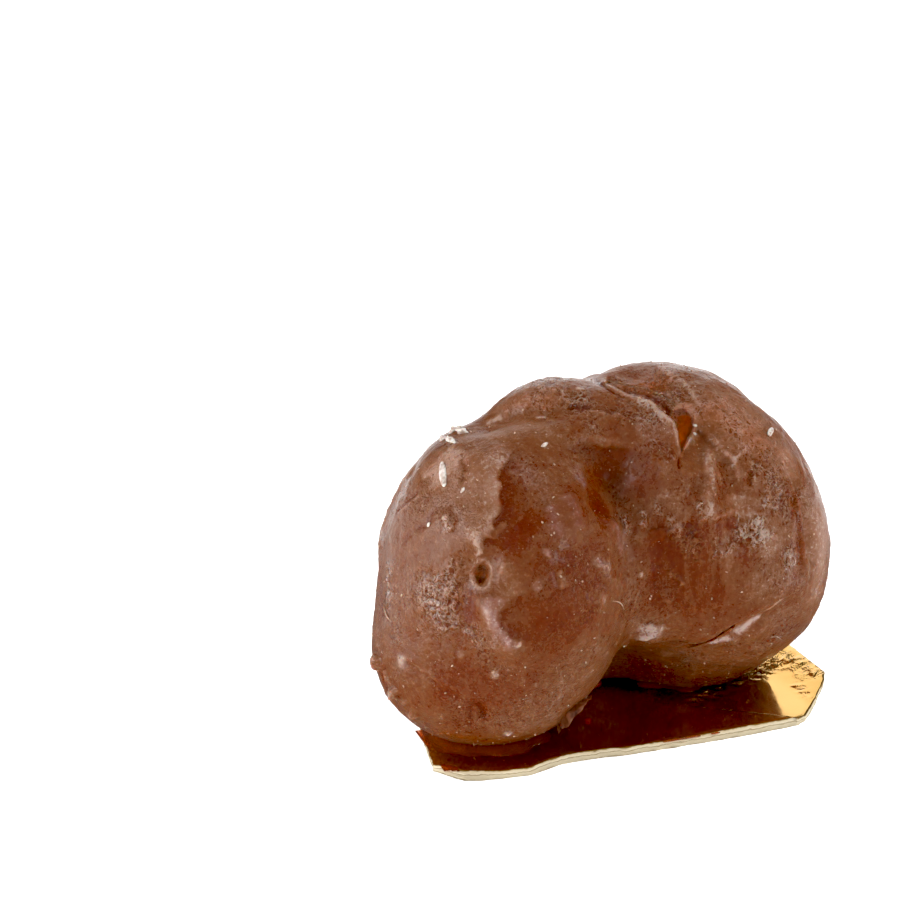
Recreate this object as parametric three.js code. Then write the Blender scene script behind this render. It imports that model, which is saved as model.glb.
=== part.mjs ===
// A candied chestnut, glazed with sugar syrup, on its small gold portion card.
// Millimetres, +Z up. The card's long edge runs along X, and the chestnut's cleft opens to -Y.
import * as THREE from "three";
import { mergeVertices } from "three/addons/utils/BufferGeometryUtils.js";

// ---- Driving dimensions ----
const CARD_THICKNESS = 0.6;
const SYRUP_FILM = 0.3; // between the card and the chestnut's feet
const SKIN_DETAIL = 23; // the chestnut's skin has 20 * (detail + 1)^2 triangles
const CARD_RIM_POINTS = 64;
const CARD_RINGS = 6;

// Every ray from the heart meets the skin once, so a place on the skin is a longitude and a latitude.
const HEART = new THREE.Vector3(0, 0, 15);
const SEAT_Z = CARD_THICKNESS + SYRUP_FILM;
const SKIN_RADIUS = 16; // turns an angle at the heart into millimetres along the skin
const LONGEST_RAY = 40;
const FINEST = 0.001; // how closely a ray's end is found

// ---- The chestnut's lobes: soft balls that run into each other ----
const LOBE_BLEND = 3.2;
const CLEFT_BLEND = 2;
const lobes = [
  { name: "left cheek", at: [-9.5, -2.4, 14.4], half: [10.3, 11, 12.8] },
  { name: "left foot", at: [-11.6, -2.6, 7.9], half: [8.9, 8.3, 7.6] },
  { name: "crown", at: [5.1, 1, 17.5], half: [12.8, 12, 12.2] },
  { name: "right cheek", at: [10.4, 0.5, 13.8], half: [9.9, 12.3, 10.9] },
  { name: "right hip", at: [12, 1, 10], half: [7, 9, 6] },
  { name: "right foot", at: [9.4, 3.8, 5.6], half: [9.1, 8.4, 7] },
  { name: "back web", at: [-1.5, 5, 6.6], half: [8, 6, 7] },
  { name: "knob", at: [-4.6, -0.3, 26], half: [4.8, 4.6, 3.8] },
];
const cleft = { at: [1, -9.5, 1], half: [5.2, 10, 5.8] };

// ---- The skin's relief. Routes and spots are [longitude, latitude] in degrees at the heart:
// longitude 0 is the front, 90 the right end, 180 the back and -90 the left end. ----

// Along a fold the skin on the left of the route stands proud of the skin on its right.
const folds = [
  {
    name: "brow",
    route: [[16, 34], [22, 40], [32, 47], [40, 54], [45, 64], [52, 76], [75, 86], [-160, 84]],
    rise: 0.7,
    drop: 1.2,
  },
  {
    name: "lip",
    route: [[4, -46], [16, -41], [27, -33], [33, -22], [38, -13], [44, -8], [50, -5]],
    rise: 0.6,
    drop: 1.3,
  },
  {
    name: "temple",
    route: [[-54, 13], [-53, 20], [-52, 26], [-55, 32], [-60, 38], [-63, 46]],
    rise: 0.5,
    drop: 0.7,
  },
  { name: "right flap", route: [[57, 25], [54, 15], [52, 6], [51, -5]], rise: 0.7, drop: 0.3 },
  {
    name: "back seam",
    route: [[172, 68], [158, 54], [167, 40], [155, 25], [162, 8], [150, -10], [158, -28]],
    rise: 0.5,
    drop: 0.9,
  },
  {
    name: "left seam",
    route: [[-114, 46], [-104, 31], [-111, 15], [-104, -1], [-117, -18]],
    rise: 0.35,
    drop: 0.6,
  },
];

// A furrow with a negative depth is a ridge.
const furrows = [
  {
    name: "knob groove",
    route: [[-78, 40], [-84, 50], [-71, 59], [-54, 67], [-28, 73]],
    width: 1.4,
    depth: 1.1,
  },
  {
    name: "valley",
    route: [[-26, 60], [-19, 49], [-15, 34], [-20, 16], [-27, 3]],
    width: 2.6,
    depth: 1,
  },
  { name: "middle groove", route: [[-2, 48], [3, 30], [8, 11], [11, -8]], width: 1.5, depth: 0.6 },
  {
    name: "middle ridge",
    route: [[-40, 42], [-30, 29], [-24, 13], [-19, 0]],
    width: 1.4,
    depth: -0.5,
  },
  { name: "right ridge", route: [[35, 46], [30, 37], [26, 29], [24, 20]], width: 1.1, depth: -0.6 },
  { name: "right groove", route: [[45, 44], [40, 32], [34, 21], [29, 10]], width: 1.4, depth: 0.6 },
  {
    name: "crescent",
    route: [[-51, 9], [-51, 4], [-50, -1], [-47, -4], [-44, -7], [-40, -10]],
    width: 1,
    depth: -0.9,
  },
  {
    name: "crescent groove",
    route: [[-59, 15], [-57, 7], [-55, 1], [-52, -6]],
    width: 1.1,
    depth: 0.6,
  },
  { name: "lower lip", route: [[29, -38], [35, -28], [40, -21], [47, -15]], width: 1, depth: -0.7 },
  {
    name: "crown crease",
    route: [[50, 58], [62, 66], [90, 74], [140, 74]],
    width: 1.3,
    depth: 0.6,
  },
  {
    name: "shoulder crease",
    route: [[82, 46], [93, 31], [86, 15], [95, 1], [88, -12]],
    width: 1.4,
    depth: 0.7,
  },
  {
    name: "back right furrow",
    route: [[122, 54], [111, 38], [122, 23], [113, 7], [125, -11]],
    width: 1.4,
    depth: 0.8,
  },
  {
    name: "back branch",
    route: [[166, 42], [178, 31], [-172, 14], [-179, -3], [-167, -20]],
    width: 1.2,
    depth: 0.8,
  },
  {
    name: "back left furrow",
    route: [[-152, 56], [-141, 41], [-150, 24], [-139, 8], [-147, -9]],
    width: 1.5,
    depth: 0.7,
  },
  {
    name: "left furrow",
    route: [[-98, 34], [-94, 18], [-90, 2], [-88, -12]],
    width: 1.4,
    depth: 0.4,
  },
];

const dents = [
  { name: "crack", at: [40, 53], radius: 1.4, depth: 1.5 },
  { name: "pit", at: [-53, 12], radius: 0.9, depth: 1.1 },
  { name: "centre dent", at: [-17, 50], radius: 2.8, depth: 0.8 },
  { name: "cheek dome", at: [-37, -1], radius: 4.5, depth: -0.5 },
  { name: "bottom dent", at: [-55, -26], radius: 1.6, depth: 0.5 },
  { name: "nub", at: [7, -33], radius: 1.6, depth: -0.9 },
  { name: "back hollow", at: [-172, 24], radius: 4, depth: 0.6 },
  { name: "hip dimple", at: [80, 4], radius: 2.6, depth: 0.5 },
  { name: "crown dimple", at: [170, 66], radius: 2.4, depth: 0.5 },
];

const FOLD_EDGE = 0.6; // half the width of a fold's step
const FOLD_REACH = 2.6; // how far from its step a fold still lifts or sinks the skin
const END_FADE = 0.18; // the share of a route over which its end fades out
const ROUTE_STEPS = 3; // how many straight steps each stretch of a route is laid in

function aim([longitude, latitude]) {
  const turn = THREE.MathUtils.degToRad(longitude);
  const lift = THREE.MathUtils.degToRad(latitude);
  return new THREE.Vector3(
    Math.sin(turn) * Math.cos(lift),
    -Math.cos(turn) * Math.cos(lift),
    Math.sin(lift),
  );
}

// A route as points on a ball of the skin's radius.
function layRoute(route) {
  const curve = new THREE.CatmullRomCurve3(route.map(aim));
  return curve.getPoints(route.length * ROUTE_STEPS).map((p) => p.setLength(SKIN_RADIUS));
}

// How far a place is from a route: signed, positive on its left, with the share of the route passed there.
function measureFrom(place, points) {
  const step = new THREE.Vector3();
  const offset = new THREE.Vector3();
  let best = { away: Infinity, share: 0 };
  for (let i = 0; i + 1 < points.length; i++) {
    step.subVectors(points[i + 1], points[i]);
    offset.subVectors(place, points[i]);
    const along = THREE.MathUtils.clamp(offset.dot(step) / step.lengthSq(), 0, 1);
    const side = Math.sign(offset.clone().cross(place).dot(step)) || 1;
    const away = offset.addScaledVector(step, -along).length();
    const share = (i + along) / (points.length - 1);
    if (away < Math.abs(best.away)) best = { away: side * away, share };
  }
  return best;
}

function endFade(share) {
  return THREE.MathUtils.smoothstep(Math.min(share, 1 - share), 0, END_FADE);
}

function foldHeight(place, { points, rise, drop }) {
  const { away, share } = measureFrom(place, points);
  const height = away > 0 ? rise : drop;
  const step = Math.tanh(away / FOLD_EDGE);
  return height * step * Math.exp(-Math.abs(away) / FOLD_REACH) * endFade(share);
}

function furrowHeight(place, { points, width, depth }) {
  const { away, share } = measureFrom(place, points);
  return -depth * Math.exp(-((away / width) ** 2)) * endFade(share);
}

function dentHeight(place, { centre, radius, depth }) {
  return -depth * Math.exp(-(place.distanceToSquared(centre) / radius ** 2));
}

for (const line of [...folds, ...furrows]) line.points = layRoute(line.route);
for (const dent of dents) dent.centre = aim(dent.at).setLength(SKIN_RADIUS);

function reliefAt(direction) {
  const place = direction.clone().setLength(SKIN_RADIUS);
  let height = 0;
  for (const fold of folds) height += foldHeight(place, fold);
  for (const furrow of furrows) height += furrowHeight(place, furrow);
  for (const dent of dents) height += dentHeight(place, dent);
  return height;
}

// ---- The chestnut's body ----
function ballDistance(p, { at, half }) {
  const scaled = [(p.x - at[0]) / half[0], (p.y - at[1]) / half[1], (p.z - at[2]) / half[2]];
  const reachShare = Math.hypot(...scaled);
  const slope = Math.hypot(...scaled.map((v, i) => v / half[i]));
  return slope === 0 ? -Math.min(...half) : (reachShare * (reachShare - 1)) / slope;
}

function softMin(a, b, blend) {
  const near = Math.max(blend - Math.abs(a - b), 0) / blend;
  return Math.min(a, b) - (near * near * blend) / 4;
}

function bodyDistance(p) {
  let distance = LONGEST_RAY;
  for (const lobe of lobes) distance = softMin(distance, ballDistance(p, lobe), LOBE_BLEND);
  return -softMin(-distance, ballDistance(p, cleft), CLEFT_BLEND);
}

function skinPoint(direction) {
  let inside = 0;
  let outside = LONGEST_RAY;
  const probe = new THREE.Vector3();
  while (outside - inside > FINEST) {
    const middle = (inside + outside) / 2;
    probe.copy(direction).multiplyScalar(middle).add(HEART);
    if (bodyDistance(probe) < 0) inside = middle;
    else outside = middle;
  }
  const skin = direction.clone().multiplyScalar(inside + reliefAt(direction)).add(HEART);
  return skin.setZ(Math.max(skin.z, SEAT_Z)); // the feet are pressed flat
}

function chestnutGeometry() {
  const ball = new THREE.IcosahedronGeometry(1, SKIN_DETAIL);
  ball.deleteAttribute("normal");
  ball.deleteAttribute("uv");
  const skin = mergeVertices(ball);
  const position = skin.attributes.position;
  const direction = new THREE.Vector3();
  for (let i = 0; i < position.count; i++) {
    direction.fromBufferAttribute(position, i).normalize();
    position.setXYZ(i, ...skinPoint(direction));
  }
  skin.computeVertexNormals();
  return skin;
}

// ---- The card: a small gold board with its corners cut off and its rim a little bent ----
const cardCorners = [
  [-15.8, -9.9], [-8, -10.3], [-4, -9.9], [15, -9.9], [20.4, -4.2], [20.2, 2.8],
  [15, 8.3], [-12, 8.2], [-15.2, 5], [-17.4, -7],
];
const curl = { from: 16.5, to: 21, height: 0.7 }; // the right end bends up along X

function cardLift(x) {
  return curl.height * THREE.MathUtils.smoothstep(x, curl.from, curl.to);
}

function cardGeometry() {
  const outline = new THREE.Shape(cardCorners.map(([x, y]) => new THREE.Vector2(x, y)));
  outline.closePath();
  const rim = outline.getSpacedPoints(CARD_RIM_POINTS).slice(0, CARD_RIM_POINTS);
  const centre = rim.reduce((sum, p) => sum.add(p), new THREE.Vector2()).divideScalar(rim.length);
  const position = [];
  for (const height of [0, CARD_THICKNESS]) {
    position.push(centre.x, centre.y, height);
    for (let ring = 1; ring <= CARD_RINGS; ring++)
      for (const p of rim) {
        const at = centre.clone().lerp(p, ring / CARD_RINGS);
        position.push(at.x, at.y, height + cardLift(at.x));
      }
  }
  // The lower side's points come first, then the upper side's: the centre, then ring after ring.
  const upper = 1 + CARD_RINGS * CARD_RIM_POINTS;
  const point = (ring, i) => 1 + (ring - 1) * CARD_RIM_POINTS + (i % CARD_RIM_POINTS);
  const faces = [];
  const onBothSides = (a, b, c) => faces.push([a, b, c], [upper + a, upper + c, upper + b]);
  for (let i = 0; i < CARD_RIM_POINTS; i++) {
    onBothSides(0, point(1, i + 1), point(1, i));
    for (let ring = 1; ring < CARD_RINGS; ring++) {
      onBothSides(point(ring, i), point(ring, i + 1), point(ring + 1, i + 1));
      onBothSides(point(ring, i), point(ring + 1, i + 1), point(ring + 1, i));
    }
    const low = point(CARD_RINGS, i);
    const next = point(CARD_RINGS, i + 1);
    faces.push([low, next, upper + next], [low, upper + next, upper + low]);
  }
  const geometry = new THREE.BufferGeometry();
  geometry.setAttribute("position", new THREE.Float32BufferAttribute(position, 3));
  geometry.setIndex(faces.flat());
  geometry.computeVertexNormals();
  return geometry;
}

// ---- The finished sweet ----
function piece(name, geometry, finish) {
  const mesh = new THREE.Mesh(geometry, new THREE.MeshStandardMaterial(finish));
  mesh.name = name;
  return mesh;
}

const sweet = new THREE.Group();
sweet.add(
  piece("chestnut", chestnutGeometry(), { color: 0x87583a, roughness: 0.4, metalness: 0 }),
  piece("gold_card", cardGeometry(), { color: 0xe6b85c, roughness: 0.15, metalness: 1 }),
);

// The middle of the sweet's footprint goes over the origin.
const footprint = new THREE.Box3().setFromObject(sweet).getCenter(new THREE.Vector3());
for (const mesh of sweet.children) mesh.geometry.translate(-footprint.x, -footprint.y, 0);
export default sweet;
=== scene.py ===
"""A candied chestnut under a sugar glaze, on its small gold portion card.

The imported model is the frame. The chestnut's skin is refined from its CAD solid and worked over in
millimetres: cracks, folds, blisters and crackled glaze go where named marks put them. The card, the
syrup that glues the sweet to it and the loose sugar are made round them.
"""

import math
from dataclasses import dataclass

import bmesh
import bpy
import numpy as np
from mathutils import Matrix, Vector
from mathutils.bvhtree import BVHTree


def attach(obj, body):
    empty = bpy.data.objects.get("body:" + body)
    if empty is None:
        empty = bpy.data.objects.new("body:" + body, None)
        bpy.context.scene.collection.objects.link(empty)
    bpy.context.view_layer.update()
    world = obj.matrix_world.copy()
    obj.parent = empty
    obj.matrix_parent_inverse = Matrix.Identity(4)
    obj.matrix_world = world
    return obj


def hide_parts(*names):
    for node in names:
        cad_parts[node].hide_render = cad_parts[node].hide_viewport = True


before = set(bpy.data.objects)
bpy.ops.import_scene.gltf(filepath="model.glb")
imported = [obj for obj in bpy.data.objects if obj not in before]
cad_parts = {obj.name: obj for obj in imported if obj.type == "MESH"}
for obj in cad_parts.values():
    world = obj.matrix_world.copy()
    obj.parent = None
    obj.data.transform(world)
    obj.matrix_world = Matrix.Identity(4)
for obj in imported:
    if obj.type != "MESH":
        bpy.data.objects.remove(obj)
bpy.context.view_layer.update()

MM = 0.001

# ---- The camera, fitted to the photograph ----
PHOTO_SIZE = 900  # pixels a side
PIXEL = 0.085  # mm on the sweet for one pixel of the photograph
VIEW_DISTANCE = 170.0  # mm
VIEW_AZIMUTH = -24.0
VIEW_ELEVATION = 22.0
HEART = np.array([0.14, 0.30, 15.0])  # mm, inside the chestnut: every ray from it meets the skin once
HEART_PIXEL = (602, 537)
SENSOR = 36.0  # mm

# ---- The card in mm, as in the CAD model ----
CARD_TOP = 0.6
CURL_FROM = 16.36  # the right end curls up from this x to the next
CURL_TO = 20.86
CURL_HEIGHT = 0.7


def view_axes():
    """The camera's place in mm, and its right, up and forward axes."""
    a, e = math.radians(VIEW_AZIMUTH), math.radians(VIEW_ELEVATION)
    back = np.array([math.sin(a) * math.cos(e), -math.cos(a) * math.cos(e), math.sin(e)])
    right = np.array([math.cos(a), math.sin(a), 0.0])
    up = np.cross(back, right)
    place = HEART + back * VIEW_DISTANCE
    middle = PHOTO_SIZE / 2
    aim = HEART + right * (middle - HEART_PIXEL[0]) * PIXEL + up * (HEART_PIXEL[1] - middle) * PIXEL
    forward = (aim - place) / np.linalg.norm(aim - place)
    right = np.cross(forward, [0.0, 0.0, 1.0])
    right /= np.linalg.norm(right)
    return place, right, np.cross(right, forward), forward


EYE, RIGHT, UP, FORWARD = view_axes()


def ray_of(pixel):
    """The direction from the camera through a pixel of the photograph."""
    across = (pixel[0] - PHOTO_SIZE / 2) * PIXEL / VIEW_DISTANCE
    down = (pixel[1] - PHOTO_SIZE / 2) * PIXEL / VIEW_DISTANCE
    ray = FORWARD + RIGHT * across - UP * down
    return ray / np.linalg.norm(ray)


def on_level(pixel, z):
    """Where a pixel of the photograph meets the level plane at z, in mm."""
    ray = ray_of(pixel)
    return EYE + ray * (z - EYE[2]) / ray[2]


def pixel_of(place):
    """Where the photograph shows a place in mm, or each of many places."""
    ray = np.asarray(place) - EYE
    scale = VIEW_DISTANCE / PIXEL / (ray @ FORWARD)
    middle = PHOTO_SIZE / 2
    return np.stack([middle + ray @ RIGHT * scale, middle - ray @ UP * scale], -1)


def make_camera():
    """The photograph's camera."""
    data = bpy.data.cameras.new("photo_camera")
    data.sensor_width = SENSOR
    data.lens = SENSOR * VIEW_DISTANCE / (PHOTO_SIZE * PIXEL)
    data.clip_start, data.clip_end = 0.005, 5.0
    camera = new_object("photo_camera", data)
    camera.location = EYE * MM
    camera.rotation_mode = "QUATERNION"
    camera.rotation_quaternion = Vector(FORWARD).to_track_quat("-Z", "Y")
    bpy.context.scene.camera = camera


# ---- Small tools ----
def linear(hex_colour):
    """An sRGB hex colour such as 7c441a as linear RGBA."""
    parts = [int(hex_colour[i:i + 2], 16) / 255 for i in (0, 2, 4)]
    return [p / 12.92 if p <= 0.04045 else ((p + 0.055) / 1.055) ** 2.4 for p in parts] + [1.0]


def feed(tree, node, links):
    """Gives a node's inputs, by name or number, a value, a socket or another node's first output."""
    for key, value in links.items():
        if isinstance(value, bpy.types.Node):
            value = value.outputs[0]
        if isinstance(value, bpy.types.NodeSocket):
            tree.links.new(value, node.inputs[key])
        else:
            node.inputs[key].default_value = value


def add(tree, kind, links=None, stops=(), **settings):
    """Adds a node with its settings and links. stops are a colour ramp's places and hex colours."""
    node = tree.nodes.new(kind)
    for name, value in settings.items():
        setattr(node, name, value)
    feed(tree, node, links or {})
    if stops:
        elements = node.color_ramp.elements
        while len(elements) < len(stops):
            elements.new(0.5)
        for element, (where, colour) in zip(elements, stops):
            element.position = where
            element.color = linear(colour)
    return node


WAVES = 16  # sine waves in a ripple


def ripple(points, size, seed):
    """Smooth noise between about -1 and 1 at points in mm. size is the mm from one bump to the next."""
    rng = np.random.default_rng(seed)
    waves = rng.normal(size=(WAVES, 3))
    waves *= (math.tau / size * rng.uniform(0.6, 1.3, WAVES) / np.linalg.norm(waves, axis=1))[:, None]
    return np.sin(points @ waves.T + rng.uniform(0, math.tau, WAVES)).sum(1) / math.sqrt(WAVES)


def ease(x, low, high):
    """A smooth step from 0 at low to 1 at high."""
    t = np.clip((x - low) / (high - low), 0, 1)
    return t * t * (3 - 2 * t)


def to_runs(points, start, run):
    """Where on each run, from 0 at its start to 1, each point is nearest to it, and the way from there
    to the point."""
    t = np.einsum("ijk,jk->ij", points[:, None] - start, run) / np.maximum((run * run).sum(1), 1e-12)
    t = np.clip(t, 0, 1)
    return t, points[:, None] - (start + t[..., None] * run)


def inside_by(points, outline):
    """How far inside an outline each point of the plane lies. Outside it that is 0."""
    start = np.array(outline, float)
    run = np.roll(start, -1, axis=0) - start
    gap = points[:, None] - start
    away = np.linalg.norm(to_runs(points, start, run)[1], axis=2).min(1)
    spans = (gap[..., 1] < 0) != (gap[..., 1] < run[:, 1])
    with np.errstate(divide="ignore", invalid="ignore"):
        crossed = spans & (gap[..., 0] < run[:, 0] * gap[..., 1] / run[:, 1])
    return np.where(crossed.sum(1) % 2 == 1, away, 0)


def curved_level(places, points):
    """The smooth level through places given as x, y and height, read at other points of the plane: a
    curved one through more than 6 places, and else a flat one."""
    middle = np.mean(places, axis=0)[:2]

    def terms(p):
        x, y = (np.asarray(p, float)[:, :2] - middle).T / 20  # keeps the squares small
        return np.stack([np.ones_like(x), x, y, x * x, x * y, y * y][:6 if len(places) > 6 else 3], 1)

    return terms(points) @ np.linalg.lstsq(terms(places), np.array(places)[:, 2], rcond=None)[0]


def new_object(name, data):
    """A new object of the scene, at the origin."""
    thing = bpy.data.objects.new(name, data)
    bpy.context.collection.objects.link(thing)
    return thing


def mesh_piece(name, vertices, faces, material):
    """A piece from vertices in mm and faces of vertex numbers."""
    mesh = bpy.data.meshes.new(name)
    mesh.from_pydata([tuple(v) for v in np.asarray(vertices) * MM], [], [tuple(f) for f in faces])
    mesh.polygons.foreach_set("use_smooth", [True] * len(mesh.polygons))
    mesh.materials.append(material)
    mesh.update()
    return new_object(name, mesh)


def set_values(mesh, name, values):
    """Stores a value for each point of a mesh, which its material reads by that name."""
    mesh.attributes.new(name, "FLOAT", "POINT").data.foreach_set("value", values)


# ---- Marks on the skin ----
@dataclass
class Mark:
    """One mark on the chestnut's skin. The path is in pixels of the photograph where the camera sees it,
    and else in degrees of longitude and latitude round the heart: 0 is the front and 90 the right end.
    Lengths are in mm. The washes frost, amber, wet, crackle, sugar and fibre go from -1 to 1."""
    name: str
    path: list
    width: float  # from the mark's middle to where it has faded
    height: float = 0.0  # outwards
    step: float = 0.0  # how far the skin on the path's left stands above the skin on its right
    edge: float = 0.15  # how wide the step's face is
    ragged: float = 0.15  # how far the line wanders
    frost: float = 0.0
    amber: float = 0.0
    wet: float = 0.0
    crackle: float = 0.0
    sugar: float = 0.0
    fibre: float = 0.0
    wash: float = 0.0  # the washes' own width, where it isn't the mark's
    divide: float = 0.0  # how much more frost the path's left has than its right
    taper: float = 1.0  # the width at the path's end, as a share of its start
    seen: bool = True  # by the camera


WASHES = ("frost", "amber", "wet", "crackle", "sugar", "fibre")


@dataclass
class Cut:
    """Where the skin is taken back as far as a floor: an outline in photo pixels, and pixels with the
    floor's distance from the camera in mm."""
    name: str
    outline: list
    floor: list


CUT_EDGE = 2.5  # photo pixels from a cut's outline to its full depth
LAYER_SHARE = 0.03  # how much of their order in depth the layers of skin keep in a cut

CUTS = [
    Cut("crown behind the brow",
        [(606, 384), (616, 390), (628, 396), (640, 398), (653, 404), (664, 414), (673, 422), (688, 424),
         (692, 412), (686, 402), (670, 389), (650, 382), (628, 376), (608, 374)],
        [(620, 378, 167.4), (620, 393, 165.9), (640, 384, 166.7), (640, 398, 165.4), (660, 390, 166.05),
         (655, 405, 164.9), (676, 402, 165.1), (668, 414, 164.5), (684, 408, 164.7), (692, 420, 163.8),
         (678, 424, 164.2)]),
    Cut("shoulder right of the crack",
        [(698, 428), (693, 433), (687, 442), (681, 452), (680, 466), (684, 476), (700, 474), (708, 464),
         (708, 446), (704, 434)],
        [(693, 432, 163.6), (700, 438, 163.6), (688, 440, 163.1), (684, 447, 162.0), (681, 455, 161.0),
         (681, 464, 160.5), (692, 447, 162.6), (700, 450, 162.9), (708, 450, 162.8), (692, 456, 161.6),
         (700, 456, 162.2), (708, 456, 162.3), (692, 464, 161.0), (700, 464, 161.5), (708, 464, 161.7),
         (696, 474, 160.7), (684, 474, 160.1)]),
    Cut("crack mouth",
        [(671, 412), (674, 424), (676, 432), (678, 440), (680, 451), (680, 460), (684, 449), (691, 436),
         (695, 426), (696, 412), (684, 407)],
        [(675, 411, 164.7), (692, 412, 164.1), (675, 420, 164.5), (692, 420, 164.2), (684, 430, 164.4),
         (682, 442, 163.5), (680, 450, 162.1), (680, 458, 161.0), (692, 432, 164.3)]),
    Cut("lip slit",
        [(686, 647), (694, 643.5), (702, 641), (710, 638.5), (718, 634), (726, 628.5), (733, 624.5),
         (735, 626.5), (728, 631), (720, 636), (711, 641), (703, 643.5), (695, 646), (687, 649)],
        [(690, 648, 169.5), (710, 645, 168.5), (730, 638, 167.9), (750, 625, 167.2), (770, 610, 167.1),
         (783, 600, 167.0), (735, 626, 167.5)]),
    Cut("pit",
        [(476.5, 566), (481, 564), (485.5, 565), (488.5, 570), (487, 577), (484.5, 582), (479, 583),
         (475.5, 578), (474.5, 572)],
        [(475, 573, 155.1), (489, 573, 155.2), (482, 564, 155.2), (482, 584, 155.1)]),
]

# Broad zones of the glaze: dry and frosted, or clear and wet over the amber flesh. Many of them also carry
# painted light: painted sheen where the cheeks, tops and right side face the lamps, and painted shade at the
# front, underneath and in the folds.
ZONES = [
    Mark("front valley", [(601, 412), (602, 430), (601, 450)], 2.6, height=0.85),
    Mark("front valley low", [(606, 512), (607, 545), (606, 590)], 2.2, height=0.5),
    Mark("left cheek haze", [(420, 520), (415, 570), (398, 640)], 6.0, amber=0.2),
    # Painted sheen: the left cheek is painted pale where it turns to the light at the left.
    Mark("left cheek painted sheen", [(425, 485), (442, 466), (462, 446)], 2.4, frost=0.52, amber=0.3),
    Mark("left rim skin", [(382, 560), (380, 620)], 1.6, frost=-0.1),
    Mark("temple haze", [(480, 470), (474, 500)], 2.0, frost=0.14),
    Mark("temple right", [(530, 465), (515, 480)], 2.2, frost=0.12, amber=-0.3),
    Mark("knob haze", [(480, 440), (520, 425), (560, 425)], 1.8, frost=0.22),
    Mark("knob side", [(500, 408), (540, 392), (570, 400)], 1.8, frost=0.1),
    Mark("foot low shade", [(440, 724), (490, 732)], 1.1, frost=-0.16),
    Mark("front lobe frost", [(640, 415), (655, 430), (665, 450)], 2.0, frost=0.1, amber=-0.2),
    Mark("front lobe side", [(640, 440), (655, 500)], 2.6, frost=-0.18),
    Mark("front lobe left", [(575, 440), (600, 430), (620, 440)], 2.6, frost=-0.1),
    Mark("dark front dent", [(604, 472)], 1.7, frost=-0.24, amber=0.5, height=-0.1),
    Mark("dark front pool", [(590, 505), (608, 508)], 1.6, frost=-0.36, amber=0.2, height=-0.15),
    Mark("dark temple pool", [(515, 525), (535, 540)], 2.0, frost=-0.42, amber=0.4),
    Mark("dark front middle", [(580, 540), (600, 590)], 3.0, frost=-0.18, amber=0.2),
    Mark("clear dome", [(520, 615), (560, 620), (585, 640)], 3.0, frost=-0.26, amber=0.5),
    # Painted shade: the groove is painted darker and more amber in place of the shade of a deeper groove.
    Mark("clear groove painted shade", [(467, 588), (468, 605), (474, 626)], 1.0, frost=-0.45, amber=1.4, height=-0.1),
    Mark("foot skin", [(430, 690), (490, 690), (530, 700)], 4.5, frost=-0.14, amber=-0.1),
    Mark("foot brown", [(425, 695), (450, 705)], 1.8, frost=-0.14, amber=0.3),
    Mark("foot front skin", [(500, 655), (540, 680)], 2.6, frost=0.06),
    Mark("foot right skin", [(560, 690), (600, 650)], 2.5, frost=0.06),
    Mark("middle clear", [(660, 530), (690, 580), (690, 620)], 3.4, frost=-0.22, amber=0.5),
    Mark("back of the crown", [(630, 380), (660, 395)], 2.6, frost=0.06, amber=1.0),
    Mark("crown haze", [(700, 385), (740, 405), (768, 422)], 2.0, frost=0.14),
    Mark("crown side", [(750, 440), (730, 450)], 2.5, frost=0.04),
    Mark("right smooth groove", [(726, 465), (728, 515)], 1.0, amber=0.4),
    Mark("right pale", [(746, 495), (748, 518)], 1.1, frost=0.34),
    # Painted light: the right side is painted paler where the lamps light it.
    Mark("right side painted light", [(782, 445), (790, 480)], 1.6, frost=0.28, amber=0.2),
    # Painted sheen: the right flap is painted pale where its glaze catches the light at a glancing angle.
    Mark("right flap painted sheen", [(818, 500), (822, 560), (812, 610)], 1.8, frost=0.3),
    Mark("right crackle haze", [(765, 530), (780, 550)], 1.6, frost=0.24),
    Mark("right cheek skin", [(740, 580), (760, 600)], 2.6, frost=0.1),
    Mark("right foot skin", [(780, 640), (740, 660)], 2.5, frost=-0.06),
    Mark("right foot shade", [(625, 668), (650, 672), (680, 678)], 2.2, frost=-0.34, amber=0.7),
    Mark("right foot glow", [(690, 682), (720, 682), (748, 672)], 1.6, frost=-0.4, amber=0.9),
    Mark("dome shade", [(532, 556), (552, 562), (574, 574)], 1.8, frost=-0.16),
    Mark("brow shade", [(568, 478), (578, 500), (582, 530)], 1.5, frost=-0.12),
    Mark("knob foot", [(490, 424), (510, 416)], 1.0, frost=0.22),
    Mark("lobe smooth", [(590, 430), (640, 430)], 2.6, crackle=-0.4, fibre=-0.3),
    Mark("temple smooth", [(480, 480), (475, 510)], 2.0, crackle=-0.4, fibre=-0.3),
    Mark("flap smooth", [(818, 500), (822, 560), (812, 610)], 1.6, crackle=-0.4, fibre=-0.3),
    Mark("middle fibres", [(620, 600), (680, 590), (730, 600)], 3.6, fibre=0.8),
    Mark("middle fibres high", [(640, 545), (700, 540), (760, 560)], 3.0, fibre=0.8),
    Mark("right fibres", [(700, 470), (730, 500), (770, 490)], 3.2, fibre=0.9),
    Mark("knob amber", [(500, 410), (560, 398)], 1.4, amber=0.4),
    Mark("crown amber", [(700, 400), (740, 425), (770, 455)], 2.6, amber=0.5, frost=0.16),
]

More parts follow.
